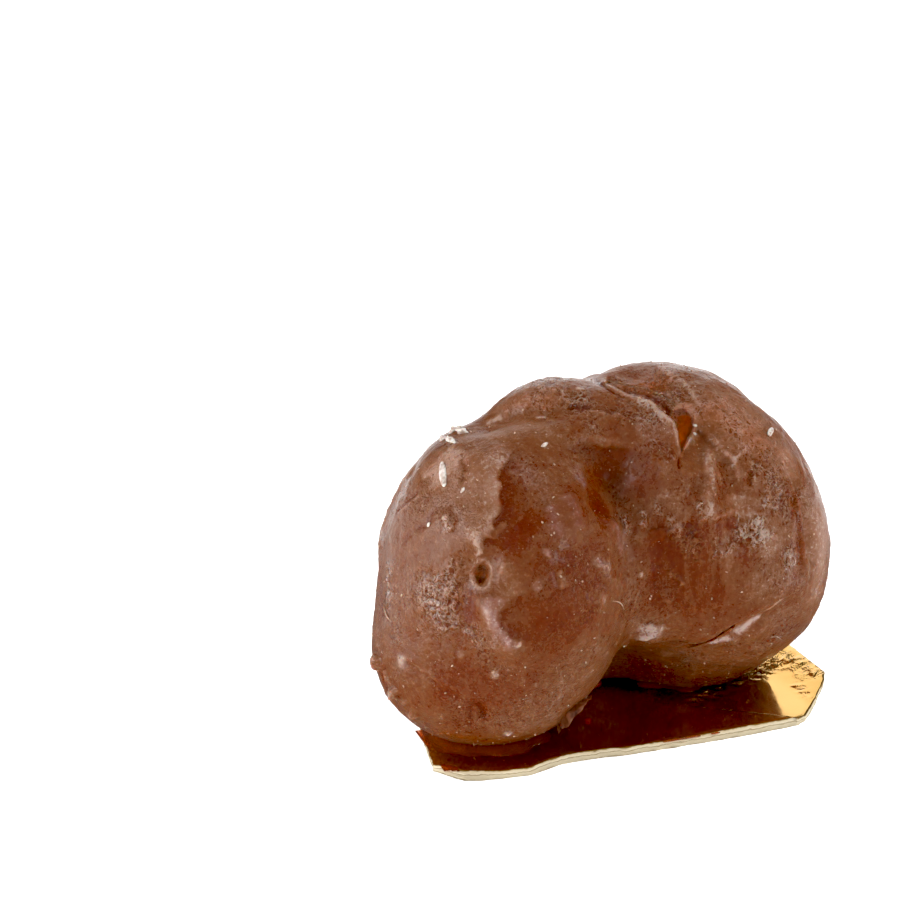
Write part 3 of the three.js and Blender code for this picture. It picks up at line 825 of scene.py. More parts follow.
def sugar_dust():
    """Loose sugar on the glaze: squashed grains of random size and turn, scattered on the skin. Most
    are near the smallest size."""
    tree, given = new_tree("sugar_dust", [
        ("Grains per square metre", "Float", 2e5), ("Smallest", "Float", 5e-5),
        ("Largest", "Float", 1e-4), ("Seed", "Int", 3), ("Sugar", "Material", None)])
    points = add(tree, "GeometryNodeDistributePointsOnFaces", {
        "Mesh": given["Geometry"], "Density": given["Grains per square metre"], "Seed": given["Seed"]})
    grain = add(tree, "GeometryNodeMeshIcoSphere", {"Radius": 1.0, "Subdivisions": 1})
    grain = add(tree, "GeometryNodeTransform", {"Geometry": grain, "Scale": (1.3, 0.9, 0.6)})
    share = add(tree, "FunctionNodeRandomValue", {"Seed": given["Seed"]}, data_type="FLOAT").outputs[1]
    share = add(tree, "ShaderNodeMath", {0: share, 1: 3.0}, operation="POWER")
    size = add(tree, "ShaderNodeMapRange", {"Value": share, "To Min": given["Smallest"],
                                            "To Max": given["Largest"]})
    turn = add(tree, "FunctionNodeRandomValue", {0: (0, 0, 0), 1: (6.28, 6.28, 6.28),
                                                 "Seed": given["Seed"]}, data_type="FLOAT_VECTOR")
    turn = add(tree, "FunctionNodeEulerToRotation", {0: turn})
    strewn = add(tree, "GeometryNodeInstanceOnPoints", {
        "Points": points, "Instance": grain, "Rotation": turn, "Scale": size})
    real = add(tree, "GeometryNodeRealizeInstances", {"Geometry": strewn})
    white = add(tree, "GeometryNodeSetMaterial", {"Geometry": real, "Material": given["Sugar"]})
    add(tree, "NodeGroupOutput", {"Geometry": white})
    return tree


# ---- Finishes ----
def new_material(name):
    """A new material with its tree and its shader."""
    material = bpy.data.materials.new(name)
    material.use_nodes = True
    tree = material.node_tree
    return material, tree, tree.nodes["Principled BSDF"]


def candied_flesh():
    """Glazed candied chestnut: cooked starchy flesh soaked through with syrup, so light sinks in and
    comes back amber, under a thin sugar glaze that has dried clear in places and hazy in others."""
    material, tree, shader = new_material("candied_chestnut_glaze")
    place = add(tree, "ShaderNodeTexCoord").outputs["Object"]
    made = {name: add(tree, "ShaderNodeAttribute", attribute_name=name).outputs["Fac"]
            for name in (*WASHES, "hollow")}
    # Noise: its size in mm, detail, roughness, distortion, and how much it is drawn out upwards.
    for name, size, detail, rough, distortion, upright in (
            ("worms", 0.42, 2.5, 0.55, 0.5, 1), ("patches", 3.5, 2.0, 0.55, 0, 1),
            ("cloud", 3.0, 3.0, 0.55, 0, 1), ("mottle", 0.5, 4.0, 0.65, 0, 1),
            ("flecks", 0.26, 2.0, 0.6, 0, 1), ("fine strands", 0.4, 3.0, 0.6, 0, 0.16),
            ("strands", 0.9, 2.0, 0.5, 0, 0.12), ("grain", 0.4, 5.0, 0.6, 0, 1)):
        at = add(tree, "ShaderNodeMapping", {"Vector": place, "Scale": (1, 1, upright)})
        made[name] = add(tree, "ShaderNodeTexNoise", {
            "Vector": at, "Scale": 1 / (size * MM), "Detail": detail, "Roughness": rough,
            "Distortion": distortion})
    made["patches"] = add(tree, "ShaderNodeMapRange", {
        "Value": made["patches"], "From Min": 0.45, "From Max": 0.7, "To Min": 0.08, "To Max": 0.55})
    # Each step has the name of what it makes, its operation and its inputs: numbers or what is made.
    for name, operation, *inputs in (
            # Where the glaze has crackled, fine ridges are painted pale and the troughs between them darker:
            # partly dry sugar on the ridges, partly painted glints and painted shade.
            ("worms", "SUBTRACT", "worms", 0.5),
            ("worms", "ABSOLUTE", "worms"),
            ("ridge", "MULTIPLY_ADD", "worms", -6.0, 1.0),
            ("crackled", "ADD", "crackle", "patches"),
            ("ridges", "SUBTRACT", "ridge", 0.4),
            ("ridges", "MULTIPLY", "ridges", "crackled"),
            # The haze runs from 0, clear syrup, to 1, dry sugar; with the marks' frost, the crackle and the
            # hollows it also carries painted sheen and painted shade.
            ("cloud", "MULTIPLY_ADD", "cloud", 0.3, -0.15),
            ("mottle", "MULTIPLY_ADD", "mottle", 0.55, -0.275),
            ("flecks", "MULTIPLY_ADD", "flecks", 1.5, -0.84),
            ("flecks", "MAXIMUM", "flecks", -0.03),
            ("fibrous", "MULTIPLY_ADD", "fibre", 0.75, 0.15),
            ("strands", "ADD", "strands", "fine strands"),
            ("strands", "SUBTRACT", "strands", 1.0),
            ("sum", "MULTIPLY_ADD", "strands", "fibrous", 0.42),
            ("sum", "ADD", "sum", "frost"),
            ("sum", "ADD", "sum", "cloud"),
            ("sum", "ADD", "sum", "mottle"),
            ("sum", "ADD", "sum", "flecks"),
            # The crackle's painted glints on its ridges and painted shade in its troughs.
            ("sum", "MULTIPLY_ADD", "ridges", 0.8, "sum"),
            # Clearer and darker amber in the skin's hollows: partly syrup pooled there, partly painted
            # shade.
            ("haze", "MULTIPLY_ADD", "hollow", -1.8, "sum"),
            # How far the colour goes to clear amber, to mauve and to sugar.
            ("clear share", "MULTIPLY", "amber", 0.8),
            ("mauve share", "MULTIPLY", "amber", -1.4),
            ("sugar share", "MULTIPLY", "sugar", 0.9),
            # The glaze is glossiest where it is wet or crackled.
            ("coat", "ADD", "crackled", "wet"),
            ("coat share", "MULTIPLY", "coat", 0.8),
            # Fine grain of the flesh all over, and the crackle's ridges, in metres.
            ("flakes", "MULTIPLY", "ridge", "crackled"),
            ("flakes", "MULTIPLY", "flakes", 0.17 * MM),
            ("height", "MULTIPLY_ADD", "grain", 0.12 * MM, "flakes")):
        made[name] = add(tree, "ShaderNodeMath", {n: made.get(i, i) for n, i in enumerate(inputs)},
                         operation=operation,
                         use_clamp=name in ("ridge", "crackled", "fibrous", "haze", "clear share",
                                            "mauve share", "sugar share", "coat share"))
    brown, clear, mauve = (add(tree, "ShaderNodeValToRGB", {"Fac": made["haze"]}, stops) for stops in (
        [(0.0, "661f05"), (0.25, "703210"), (0.5, "7e4c2a"), (0.75, "946850"), (1.0, "b49888")],
        [(0.0, "702c05"), (0.5, "864818"), (1.0, "b8581a")],
        [(0.0, "64200c"), (0.4, "78402c"), (0.7, "90645a"), (1.0, "bca09a")]))
    colour = brown
    for share, other in (("clear share", clear), ("mauve share", mauve),
                         ("sugar share", linear("d9cdc6"))):
        colour = add(tree, "ShaderNodeMix", {0: made[share], 6: colour, 7: other},
                     data_type="RGBA").outputs[2]
    # Duller where it is hazy, but for the glints of the crackle.
    dull = add(tree, "ShaderNodeMapRange", {"Value": made["haze"], "To Min": 0.22, "To Max": 0.42})
    rough = add(tree, "ShaderNodeMath", {0: made["crackle"], 1: -0.16, 2: dull},
                operation="MULTIPLY_ADD")
    bump = add(tree, "ShaderNodeBump", {"Height": made["height"], "Strength": 1.0, "Distance": 1.0})
    feed(tree, shader, {
        "Base Color": colour, "Roughness": rough, "Normal": bump, "IOR": 1.48,
        "Specular IOR Level": 0.5, "Subsurface Weight": 0.6, "Subsurface Radius": (1.0, 0.36, 0.12),
        "Subsurface Scale": 0.8 * MM, "Coat Weight": made["coat share"], "Coat Roughness": 0.14})
    return material


def gold_foil():
    """Mirror-gold foil: a few microns of metal on a lacquered film, rolled on to the board. Rolling
    leaves duller streaks and a faint orange peel, and crumpling leaves fine creases."""
    material, tree, shader = new_material("mirror_gold_foil")
    place = add(tree, "ShaderNodeTexCoord").outputs["Object"]
    streaks = add(tree, "ShaderNodeTexNoise", {"Vector": place, "Scale": 1 / (2.5 * MM), "Detail": 4.0})
    rough = add(tree, "ShaderNodeMapRange", {"Value": streaks, "From Min": 0.35, "From Max": 0.75,
                                             "To Min": 0.05, "To Max": 0.16})
    creases = add(tree, "ShaderNodeTexNoise", {"Vector": place, "Scale": 1 / (1.0 * MM), "Detail": 3.0,
                                               "Distortion": 0.6})
    creases = add(tree, "ShaderNodeMath", {0: creases, 1: 0.5}, operation="SUBTRACT")
    creases = add(tree, "ShaderNodeMath", {0: creases}, operation="ABSOLUTE")
    crumple = add(tree, "ShaderNodeAttribute", attribute_name="crumple").outputs["Fac"]
    creases = add(tree, "ShaderNodeMath", {0: creases, 1: crumple}, operation="MULTIPLY")
    creases = add(tree, "ShaderNodeMath", {0: creases, 1: 0.6 * MM}, operation="MULTIPLY")
    peel = add(tree, "ShaderNodeTexNoise", {"Vector": place, "Scale": 1 / (3.0 * MM)})
    height = add(tree, "ShaderNodeMath", {0: peel, 1: 0.012 * MM, 2: creases}, operation="MULTIPLY_ADD")
    bump = add(tree, "ShaderNodeBump", {"Height": height, "Strength": 1.0, "Distance": 1.0})
    feed(tree, shader, {"Base Color": linear("eaba6b"), "Metallic": 1.0, "Roughness": rough,
                        "Normal": bump})
    return material


def cut_board():
    """Greyboard lined with cream paper: the cut edge shows its pressed layers under the foil's lip."""
    material, tree, shader = new_material("cut_cream_board")
    place = add(tree, "ShaderNodeTexCoord").outputs["Object"]
    layer = add(tree, "ShaderNodeAttribute", attribute_name="layer").outputs["Fac"]
    wave = add(tree, "ShaderNodeTexNoise", {"Vector": place, "Scale": 1 / (1.1 * MM), "Detail": 4.0,
                                            "Roughness": 0.6})
    wave = add(tree, "ShaderNodeMath", {0: wave, 1: 0.5}, operation="SUBTRACT")
    wave = add(tree, "ShaderNodeMath", {0: wave, 1: 0.6, 2: layer}, operation="MULTIPLY_ADD")
    layers = add(tree, "ShaderNodeValToRGB", {"Fac": wave}, [
        (0.0, "9a8a6a"), (0.12, "cdbf9e"), (0.45, "ddd0b2"), (0.55, "9c8456"), (0.64, "eee2c6"),
        (0.9, "dccca8"), (0.97, "8a6a30")])
    feed(tree, shader, {"Base Color": layers, "Roughness": 0.45})
    return material


def clear_syrup():
    """Sugar syrup, boiled to amber: a clear, glossy liquid."""
    material, tree, shader = new_material("amber_sugar_syrup")
    feed(tree, shader, {"Base Color": linear("d8681a"), "Roughness": 0.08, "IOR": 1.48,
                        "Transmission Weight": 0.8})
    return material


def red_syrup():
    """A drop of thick syrup: red where the light has a long way through it."""
    material, tree, shader = new_material("red_amber_drop")
    feed(tree, shader, {"Base Color": linear("9c3414"), "Roughness": 0.1, "Subsurface Weight": 0.5,
                        "Subsurface Scale": 0.3 * MM})
    return material


def clouded(name, size, detail, stops, values):
    """A cloudy finish: two tones in clouds of a size in mm, and the shader's other values."""
    material, tree, shader = new_material(name)
    place = add(tree, "ShaderNodeTexCoord").outputs["Object"]
    clouds = add(tree, "ShaderNodeTexNoise", {"Vector": place, "Scale": 1 / (size * MM),
                                              "Detail": detail})
    feed(tree, shader, {"Base Color": add(tree, "ShaderNodeValToRGB", {"Fac": clouds}, stops), **values})
    return material


def glaze_leaf():
    """A flake of dried glaze: hard, cloudy caramel."""
    return clouded("cloudy_caramel_flake", 0.6, 3.0, [(0.35, "54240c"), (0.65, "8a5a40")],
                   {"Roughness": 0.35, "Subsurface Weight": 0.3, "Subsurface Scale": 0.3 * MM})


def sugar_specks():
    """Specks of sugar half sunk in the glaze: beige, since the syrup has soaked them."""
    return clouded("syrup_soaked_sugar", 1.2, 2.0, [(0.35, "96694c"), (0.7, "d8bda8")],
                   {"Roughness": 0.3, "Subsurface Weight": 0.4, "Subsurface Scale": 0.2 * MM})


def dry_sugar():
    """Crystal sugar: white, slightly translucent grains."""
    return clouded("white_crystal_sugar", 0.4, 3.0, [(0.35, "b89c8c"), (0.6, "f1e9e2")],
                   {"Roughness": 0.35, "Subsurface Weight": 0.2, "Subsurface Scale": 0.3 * MM})


# ---- The chestnut ----
FRONT_FROM = -0.02  # how squarely a point has to face the camera to belong to the photographed side
FIRST_SEED, SEED_STEP = 100, 7  # for the marks' ragged lines


def make_chestnut(material):
    """The chestnut's piece, and its skin for what lies on it."""
    skin = Skin(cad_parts["chestnut"])
    # Each round is finer: the whole skin, the photographed side, and what is sharpest on it.
    skin.refine(np.full(len(skin.mesh.verts), True), rounds=4)
    photographed = -skin.normals() @ FORWARD > FRONT_FROM
    skin.refine(photographed | skin.beside(BREAKS + HIDDEN, margin=0.5), rounds=3)
    skin.refine(skin.beside(BREAKS + BLISTERS, margin=0.1) | skin.beside(SHARP_CRACKLES, margin=-0.6),
                rounds=1)
    for cut in CUTS:
        skin.cut(cut)
    skin.settle()
    for number, mark in enumerate(ALL_MARKS):
        skin.press(mark, FIRST_SEED + SEED_STEP * number)
    blank = skin.to_object("chestnut_blank", material)
    piece = grown(blank, "candied_chestnut", skin_relief(), {
        "Wrinkle size": 2.4 * MM, "Wrinkle height": 0.42 * MM,
        "Pimple size": 0.9 * MM, "Pimple height": 0.2 * MM,
        "Crackle size": 0.5 * MM, "Crackle height": 0.22 * MM, "Glaze": material})
    bpy.data.objects.remove(blank)
    # How deep each point sits in a hollow, where the glaze paints shade.
    set_values(piece.data, "hollow", hollows(piece.data, spread=5))
    return piece, skin


# ---- The card ----
CARD_POINTS = 480  # round the rim
CARD_RINGS = 90  # from the middle to the rim
RIM_SHARE = 0.95  # the CAD node's points that are at least this far out, of those at the same turn ...
SAME_TURN = 0.01  # ... within these radians, are its rim
RIM_RINGS = 3  # the outermost rings, where the foil rolls down over the board
RIM_DROP = 0.04  # mm
CARD_WAVE = 0.02  # mm that the card isn't flat by
FOIL_RISE, CREASE_DEPTH = 0.22, 0.26  # mm, how far crumpled foil stands up, and its creases go down
FRAY = 0.03  # mm, how uneven the cut edge is

# Where the foil is creased: a path in photo pixels, its width in mm and its strength. Along the right
# foot, behind it and by the corner.
FOIL_CREASES = [
    ([(694, 701), (712, 692), (730, 684), (748, 675), (770, 664)], 0.9, 1.0),
    ([(755, 668), (780, 660), (800, 668), (815, 677)], 1.3, 0.6),
    ([(797, 686), (803, 692), (808, 698)], 0.5, 0.3),
]

# The front of the card, in photo pixels: the foil's edge above, and the board's foot on the table.
FOIL_FRONT = [(433, 764), (450, 767), (465, 770), (482, 770), (500, 770), (530, 767), (540, 763),
              (550, 759), (565, 755), (585, 751), (605, 748), (622, 747), (640, 744.5), (660, 741),
              (700, 734), (750, 725), (797, 716.5)]
BOARD_FRONT = [(433, 771), (445, 775), (465, 781), (480, 781), (500, 779), (530, 775.5), (545, 770.5),
               (560, 765), (580, 761), (605, 757.5), (622, 756), (660, 750), (715, 741), (750, 735),
               (800, 725)]

# The board's pressed layers: how high each is, as a share of the edge, and how far it stands out in mm.
BOARD_LAYERS = [(0.93, 0.05), (0.84, -0.02), (0.66, 0.02), (0.48, -0.01), (0.3, 0.02), (0.14, -0.01),
                (0.0, 0.0)]


def card_outline(count):
    """The card's middle and its rim in mm, seen from above, as count points round the CAD node."""
    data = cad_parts["gold_card"].data
    flat = {(round(v.co.x / MM, 3), round(v.co.y / MM, 3)) for v in data.vertices}
    points = np.array(sorted(flat))
    middle = points.mean(0)
    angle = np.arctan2(*(points - middle).T[::-1])
    reach = np.linalg.norm(points - middle, axis=1)
    turns = np.abs(np.angle(np.exp(1j * (angle[:, None] - angle))))
    outer = reach > RIM_SHARE * np.where(turns < SAME_TURN, reach, 0).max(1)
    hull = points[outer][np.argsort(angle[outer])]
    loop = np.vstack([hull, hull[:1]])
    run = np.r_[0, np.cumsum(np.linalg.norm(np.diff(loop, axis=0), axis=1))]
    at = np.linspace(0, run[-1], count, endpoint=False)
    return middle, np.stack([np.interp(at, run, loop[:, 0]), np.interp(at, run, loop[:, 1])], 1)


def card_lift(x):
    """How far the card's right end has curled up at x, in mm."""
    return CURL_HEIGHT * ease(x, CURL_FROM, CURL_TO)


def to_line(points, line):
    """The distance in the plane from each point to a line through the given places, in mm."""
    line = np.asarray(line)[:, :2]
    _, gap = to_runs(points, line[:-1], line[1:] - line[:-1])
    return np.linalg.norm(gap, axis=2).min(1)


def foil_crumple(flat):
    """How much of the crumple by the right foot each place of the card has, from 0 to 1."""
    return sum(strength * np.exp(-((to_line(flat, [on_level(p, CARD_TOP) for p in path]) / width) ** 2))
               for path, width, strength in FOIL_CREASES).clip(0, 1)


def follow(rim, middle, z, path):
    """The rim with its front moved on to a path in photo pixels, at the height z."""
    across, down = np.array(path).T
    front = pixel_of([*middle, z])[1]
    out = rim.copy()
    for number, (x, y) in enumerate(rim):
        pixel = pixel_of([x, y, z])
        if pixel[1] > front and across[0] < pixel[0] < across[-1]:
            out[number] = on_level((pixel[0], np.interp(pixel[0], across, down)), z)[:2]
    return out


def make_card(foil, board):
    """The card: rings of foil from its middle to its rim, and the layers of its cut edge."""
    middle, rim = card_outline(CARD_POINTS)
    foot = follow(rim, middle, 0.0, BOARD_FRONT)
    rim = follow(rim, middle, CARD_TOP, FOIL_FRONT)
    rings = np.arange(1, CARD_RINGS + 1)
    flat = (middle + (rim - middle) * (rings / CARD_RINGS)[:, None, None]).reshape(-1, 2)
    level = np.column_stack([flat, np.zeros(len(flat))])
    bend = card_lift(flat[:, 0]) + CARD_WAVE * ripple(level, 9, 5)
    crease = np.abs(ripple(level, 1.6, 8)) + 0.5 * np.abs(ripple(level, 0.8, 9))
    crumple = foil_crumple(flat)
    foil_rise = crumple * (FOIL_RISE - CREASE_DEPTH * np.clip(crease, 0, 1.2))
    edge = ease(np.repeat(rings, CARD_POINTS), CARD_RINGS - RIM_RINGS, CARD_RINGS)
    top = CARD_TOP + bend + foil_rise * (1 - edge) - RIM_DROP * edge
    upper_rim = np.column_stack([rim, top[-CARD_POINTS:]])
    curled = card_lift(foot[:, 0])
    lower_rim = np.column_stack([foot, np.where(curled > 0.01, curled, 0)])
    outward = (rim - middle) / np.linalg.norm(rim - middle, axis=1)[:, None]
    fray = ripple(upper_rim, 1.3, 12)
    layers = []
    for number, (share, push) in enumerate(BOARD_LAYERS):
        ring = lower_rim + (upper_rim - lower_rim) * share
        ring[:, :2] += outward * (push + FRAY * ripple(ring, 0.9, 13 + number))[:, None]
        ring[:, 2] += FRAY * fray * math.sin(math.pi * share)
        layers.append(ring)
    vertices = np.vstack([[*middle, CARD_TOP], np.column_stack([flat, top]), *layers, [*middle, 0.0]])
    rows = np.arange(1, len(vertices) - 1).reshape(-1, CARD_POINTS)
    upper, edges = rows[:CARD_RINGS], rows[CARD_RINGS - 1:]
    sides = [(i, (i + 1) % CARD_POINTS) for i in range(CARD_POINTS)]
    faces = []
    for i, j in sides:
        faces.append((0, upper[0][i], upper[0][j]))
        faces.extend((a[i], b[i], b[j], a[j]) for a, b in zip(upper, upper[1:]))
    walls = [(a[i], b[i], b[j], a[j]) for a, b in zip(edges, edges[1:]) for i, j in sides]
    walls += [(edges[-1][i], len(vertices) - 1, edges[-1][j]) for i, j in sides]
    piece = mesh_piece("portion_card", vertices, faces + walls, foil)
    piece.data.materials.append(board)
    for polygon in piece.data.polygons[len(faces):]:
        polygon.material_index = 1
        polygon.use_smooth = False
    layer = np.repeat([share for share, _ in BOARD_LAYERS], CARD_POINTS)
    set_values(piece.data, "crumple", np.r_[0, crumple, 0 * layer, 0])
    set_values(piece.data, "layer", np.r_[1, np.ones(len(flat)), layer, 0])
    return piece


# ---- The syrup ----
# A line over the left corner of the card, in photo pixels, where syrup has run out over the foil.
SYRUP_CORNER = [(428, 736), (436, 752), (446, 762)]
SYRUP_DROP = (588, 721)  # photo pixel
SYRUP_GRID = 0.2  # mm from one point of the syrup's surface to the next
FILM = 0.3  # mm, the gap between the chestnut's seat and the card
MENISCUS_GAP = 0.72  # mm, how far apart skin and card are where the syrup lets go of the skin
MENISCUS_REACH = 0.85  # mm, how far the syrup creeps out over the foil
FILM_THINS = -4, 2  # mm along x, from MENISCUS_GAP under the left foot to FILM under the right one
SYRUP_MARGIN = 0.4  # mm that the syrup stays inside the card's rim
SHEET_FLOOR = 0.1  # mm, how far the sheet sinks away from the card's left corner
CORNER_NEAR, CORNER_FAR = 0.8, 2.6  # mm from the corner's line, between which it does so
SHEET_DROP = 0.02  # mm that the whole surface is set down by
SHEET_END = -0.06  # mm: there is no sheet where its surface would be lower than this
SHEET_SUNK = 0.09  # mm, the sheet's underside below the foil
SYRUP_WAVE = 0.02  # mm
FILM_GRIP = 0.08  # mm that the film reaches into the skin, and that its shore wanders
PROBE_UNDER, PROBE_REACH = 0.1, 6  # mm: the skin is looked for from under the foil, as far as this
NO_SKIN = 9.0  # mm, the gap where there is no skin above


def make_syrup(chestnut, syrup):
    """The film between the chestnut and the card, with a hollow rim where it creeps out."""
    under = BVHTree.FromPolygons([v.co / MM for v in chestnut.data.vertices],
                                 [p.vertices for p in chestnut.data.polygons])
    _, rim = card_outline(64)
    xs, ys = (np.arange(low + SYRUP_MARGIN, high - SYRUP_MARGIN, SYRUP_GRID)
              for low, high in zip(rim.min(0), rim.max(0)))
    shape = len(xs), len(ys)
    flat = np.stack(np.meshgrid(xs, ys, indexing="ij"), -1).reshape(-1, 2)
    gap = np.full(len(flat), NO_SKIN)
    for number, (x, y) in enumerate(flat):
        found, _, _, far = under.ray_cast(Vector((x, y, CARD_TOP - PROBE_UNDER)), Vector((0, 0, 1)))
        if found and far < PROBE_REACH:
            gap[number] = far - PROBE_UNDER
    level = np.column_stack([flat, 0 * flat[:, 0]])

    # The film fills every narrow gap, and its hollow rim falls away from the skin to the foil.
    thick = FILM + (MENISCUS_GAP - FILM) * (1 - ease(flat[:, 0], *FILM_THINS))
    wet = gap < thick + FILM_GRIP * ripple(level, 3.0, 21)
    grid = wet.reshape(shape)
    shore = grid & ~(np.roll(grid, 1, 0) & np.roll(grid, -1, 0) & np.roll(grid, 1, 1)
                     & np.roll(grid, -1, 1))
    shore = flat[shore.ravel()]
    away = np.concatenate([np.sqrt(((part[:, None] - shore) ** 2).sum(2)).min(1)
                           for part in np.array_split(flat, 40)])
    reach = MENISCUS_REACH * thick / MENISCUS_GAP * (1 + 0.35 * ripple(level, 2.2, 22))
    creep = np.clip(1 - away / reach, -0.5, 1)
    rise = np.where(wet, np.minimum(gap, thick) + FILM_GRIP, thick * creep * np.abs(creep))
    rise = rise.reshape(shape)
    for _ in range(3):
        for axis in (0, 1):
            rise = (np.roll(rise, 1, axis) + 2 * rise + np.roll(rise, -1, axis)) / 4
    rise = rise.ravel()

    # By the card's left corner the sheet goes on at the foil's level.
    corner = to_line(flat, [on_level(p, CARD_TOP) for p in SYRUP_CORNER])
    far = CORNER_FAR + 0.5 * ripple(level, 1.5, 23)
    sheet = SHEET_FLOOR * (1 - ease(corner, CORNER_NEAR, far)) - SHEET_FLOOR
    rise = np.maximum(rise, sheet) - SHEET_DROP
    rise += SYRUP_WAVE * ripple(level, 0.9, 25) * (rise > 0)

    # A closed sheet: the surface above, the foil's level a little sunk below, and a wall between.
    inside = (rise > SHEET_END).reshape(shape)
    use = inside[:-1, :-1] & inside[1:, :-1] & inside[:-1, 1:] & inside[1:, 1:]
    number = np.arange(len(flat)).reshape(shape)
    total = len(flat)
    base = CARD_TOP + card_lift(flat[:, 0])
    top = np.column_stack([flat, base + rise])
    low = np.column_stack([flat, base - SHEET_SUNK])
    faces, border = [], {}
    for i, j in zip(*np.nonzero(use)):
        a, b, c, d = number[i, j], number[i + 1, j], number[i + 1, j + 1], number[i, j + 1]
        faces.append((a, b, c, d))
        faces.append((total + d, total + c, total + b, total + a))
        for p, q in ((a, b), (b, c), (c, d), (d, a)):
            if (q, p) in border:
                del border[(q, p)]
            else:
                border[(p, q)] = True
    faces.extend((q, p, total + p, total + q) for p, q in border)
    piece = mesh_piece("syrup_pool", np.vstack([top, low]), faces, syrup)
    work = bmesh.new()
    work.from_mesh(piece.data)
    bmesh.ops.delete(work, geom=[v for v in work.verts if not v.link_faces], context="VERTS")
    work.to_mesh(piece.data)
    work.free()
    return piece


# ---- Loose sugar and glaze ----
def blob(place, axes, half, rough, seed):
    """A lump in mm: vertices and faces of a ball with half sizes along the axes, a little uneven."""
    work = bmesh.new()
    bmesh.ops.create_icosphere(work, subdivisions=3, radius=1.0)
    ball = np.array([v.co for v in work.verts])
    faces = [tuple(v.index for v in f.verts) for f in work.faces]
    work.free()
    size = 1 + rough * ripple(ball, 1.4, seed) + 0.5 * rough * ripple(ball, 0.6, seed + 1)
    return place + (ball * size[:, None] * np.asarray(half)) @ np.asarray(axes), faces


def join(parts):
    """Several (vertices, faces) as one."""
    vertices, faces, count = [], [], 0
    for more, sides in parts:
        vertices.append(more)
        faces.extend(tuple(n + count for n in side) for side in sides)
        count += len(more)
    return np.vstack(vertices), faces


def syrup_drop():
    """One drop of syrup that has fallen on the foil under the arch."""
    return blob(on_level(SYRUP_DROP, CARD_TOP) + [0, 0, 0.1], axes=np.eye(3), half=(0.28, 0.24, 0.2),
                rough=0.08, seed=31)


# Grains and crumbs on the glaze: the two ends in photo pixels, half width and half height in mm.
SUGAR_GRAINS = [
    ((442, 463), (445.5, 488.5), 0.32, 0.22),
    ((768, 436), (771.5, 428.5), 0.22, 0.16),
    ((693.5, 424), (697, 427), 0.13, 0.12),
    ((693, 433), (696, 435.5), 0.11, 0.1),
    ((541.5, 447), (547, 443.5), 0.16, 0.12),
    ((461, 493), (465, 488), 0.13, 0.1),
    ((428, 527), (430, 522), 0.12, 0.1),
    ((418, 471), (421, 468), 0.1, 0.08),
]
SUGAR_CRUMBS = [
    ((436, 434), (443, 440), 0.3, 0.26),
    ((440, 441), (446, 437), 0.25, 0.2),
    ((447, 439), (454, 443), 0.26, 0.22),
    ((451, 434), (459, 429), 0.34, 0.3),
    ((457, 432), (466, 433), 0.3, 0.24),
    ((448, 433), (452, 437), 0.2, 0.22),
    ((397, 447), (400, 452), 0.15, 0.14),
]
GRAIN_SUNK = 0.55  # how high a grain's middle lies over the skin, as a share of its half height


def sugar_grains(skin, picks, rough, seed):
    """Lumps of sugar half sunk in the glaze, each between its two ends."""
    parts = []
    for number, (start, end, half_width, half_height) in enumerate(picks):
        a, b = skin.hit(start), skin.hit(end)
        if not a or not b:
            continue
        run = b[0] - a[0]
        out = a[1] + b[1]
        out /= np.linalg.norm(out)
        along = run / np.linalg.norm(run)
        side = np.cross(out, along)
        side /= np.linalg.norm(side)
        parts.append(blob((a[0] + b[0]) / 2 + out * half_height * GRAIN_SUNK,
                          (along, side, np.cross(along, side)),
                          (np.linalg.norm(run) / 2, half_width, half_height), rough,
                          seed + 3 * number))
    return join(parts)


# Fine curled flakes of dried glaze: paths in photo pixels and radius in mm.
SUGAR_THREADS = [
    ([(612, 601), (617, 601.5), (621, 604), (624, 610)], 0.05),
    ([(384, 606), (386, 612), (388, 617), (392, 622)], 0.06),
    ([(784, 598), (778, 601), (773, 605)], 0.04),
    ([(770, 637), (776, 636), (781, 639)], 0.05),
]
THREAD_SIDES = 6
THREAD_HEIGHT, THREAD_TIP = 0.8, 0.15  # its middle over the skin and its tips, as shares of the radius


def sugar_threads(skin):
    """Threads that lie on the skin, thickest in their middle."""
    parts = []
    for path, radius in SUGAR_THREADS:
        found = [skin.hit(p) for p in smooth_path(path, step=1.5)]
        found = [f for f in found if f]
        if len(found) < 3:
            continue
        at = np.array([p + n * radius * THREAD_HEIGHT for p, n in found])
        rings = []
        for number, (place, ahead, (_, out)) in enumerate(zip(at, np.gradient(at, axis=0), found)):
            side = np.cross(ahead, out)
            side /= np.linalg.norm(side)
            thin = radius * (THREAD_TIP + math.sin(math.pi * number / (len(at) - 1)))
            for turn in math.tau * np.arange(THREAD_SIDES) / THREAD_SIDES:
                rings.append(place + thin * (side * math.cos(turn) + out * math.sin(turn)))
        rows = np.arange(len(rings)).reshape(-1, THREAD_SIDES)
        faces = [tuple(rows[0][::-1])]
        for a, b in zip(rows, rows[1:]):
            faces.extend(zip(a, np.roll(a, -1), np.roll(b, -1), b))
        faces.append(tuple(rows[-1]))
        parts.append((np.array(rings), faces))
    return join(parts)


# A leaf of glaze stands off the left foot by the arch: its outer and inner edges in photo pixels.
SLIVER_OUTER = [(558, 734), (566, 727), (575, 718), (584, 707), (592, 697)]
SLIVER_INNER = [(557, 728), (561, 720), (568, 712), (577, 703), (588, 696)]
SLIVER_ROWS = 18
SLIVER_ACROSS = (-0.4, 0.0, 0.35, 0.7, 1.0)  # from behind the inner edge, 0, to the outer, 1
SLIVER_HALF = 0.1  # mm, half the leaf's thickness
SLIVER_CURL = 0.1  # mm
SLIVER_LEAN = 0.3  # mm that its outer edge is nearer to the camera than its inner one
ROOT_FROM, ROOT_STEP = 40, np.array([1, 0.6])  # photo pixels up to which its root is looked for, and how


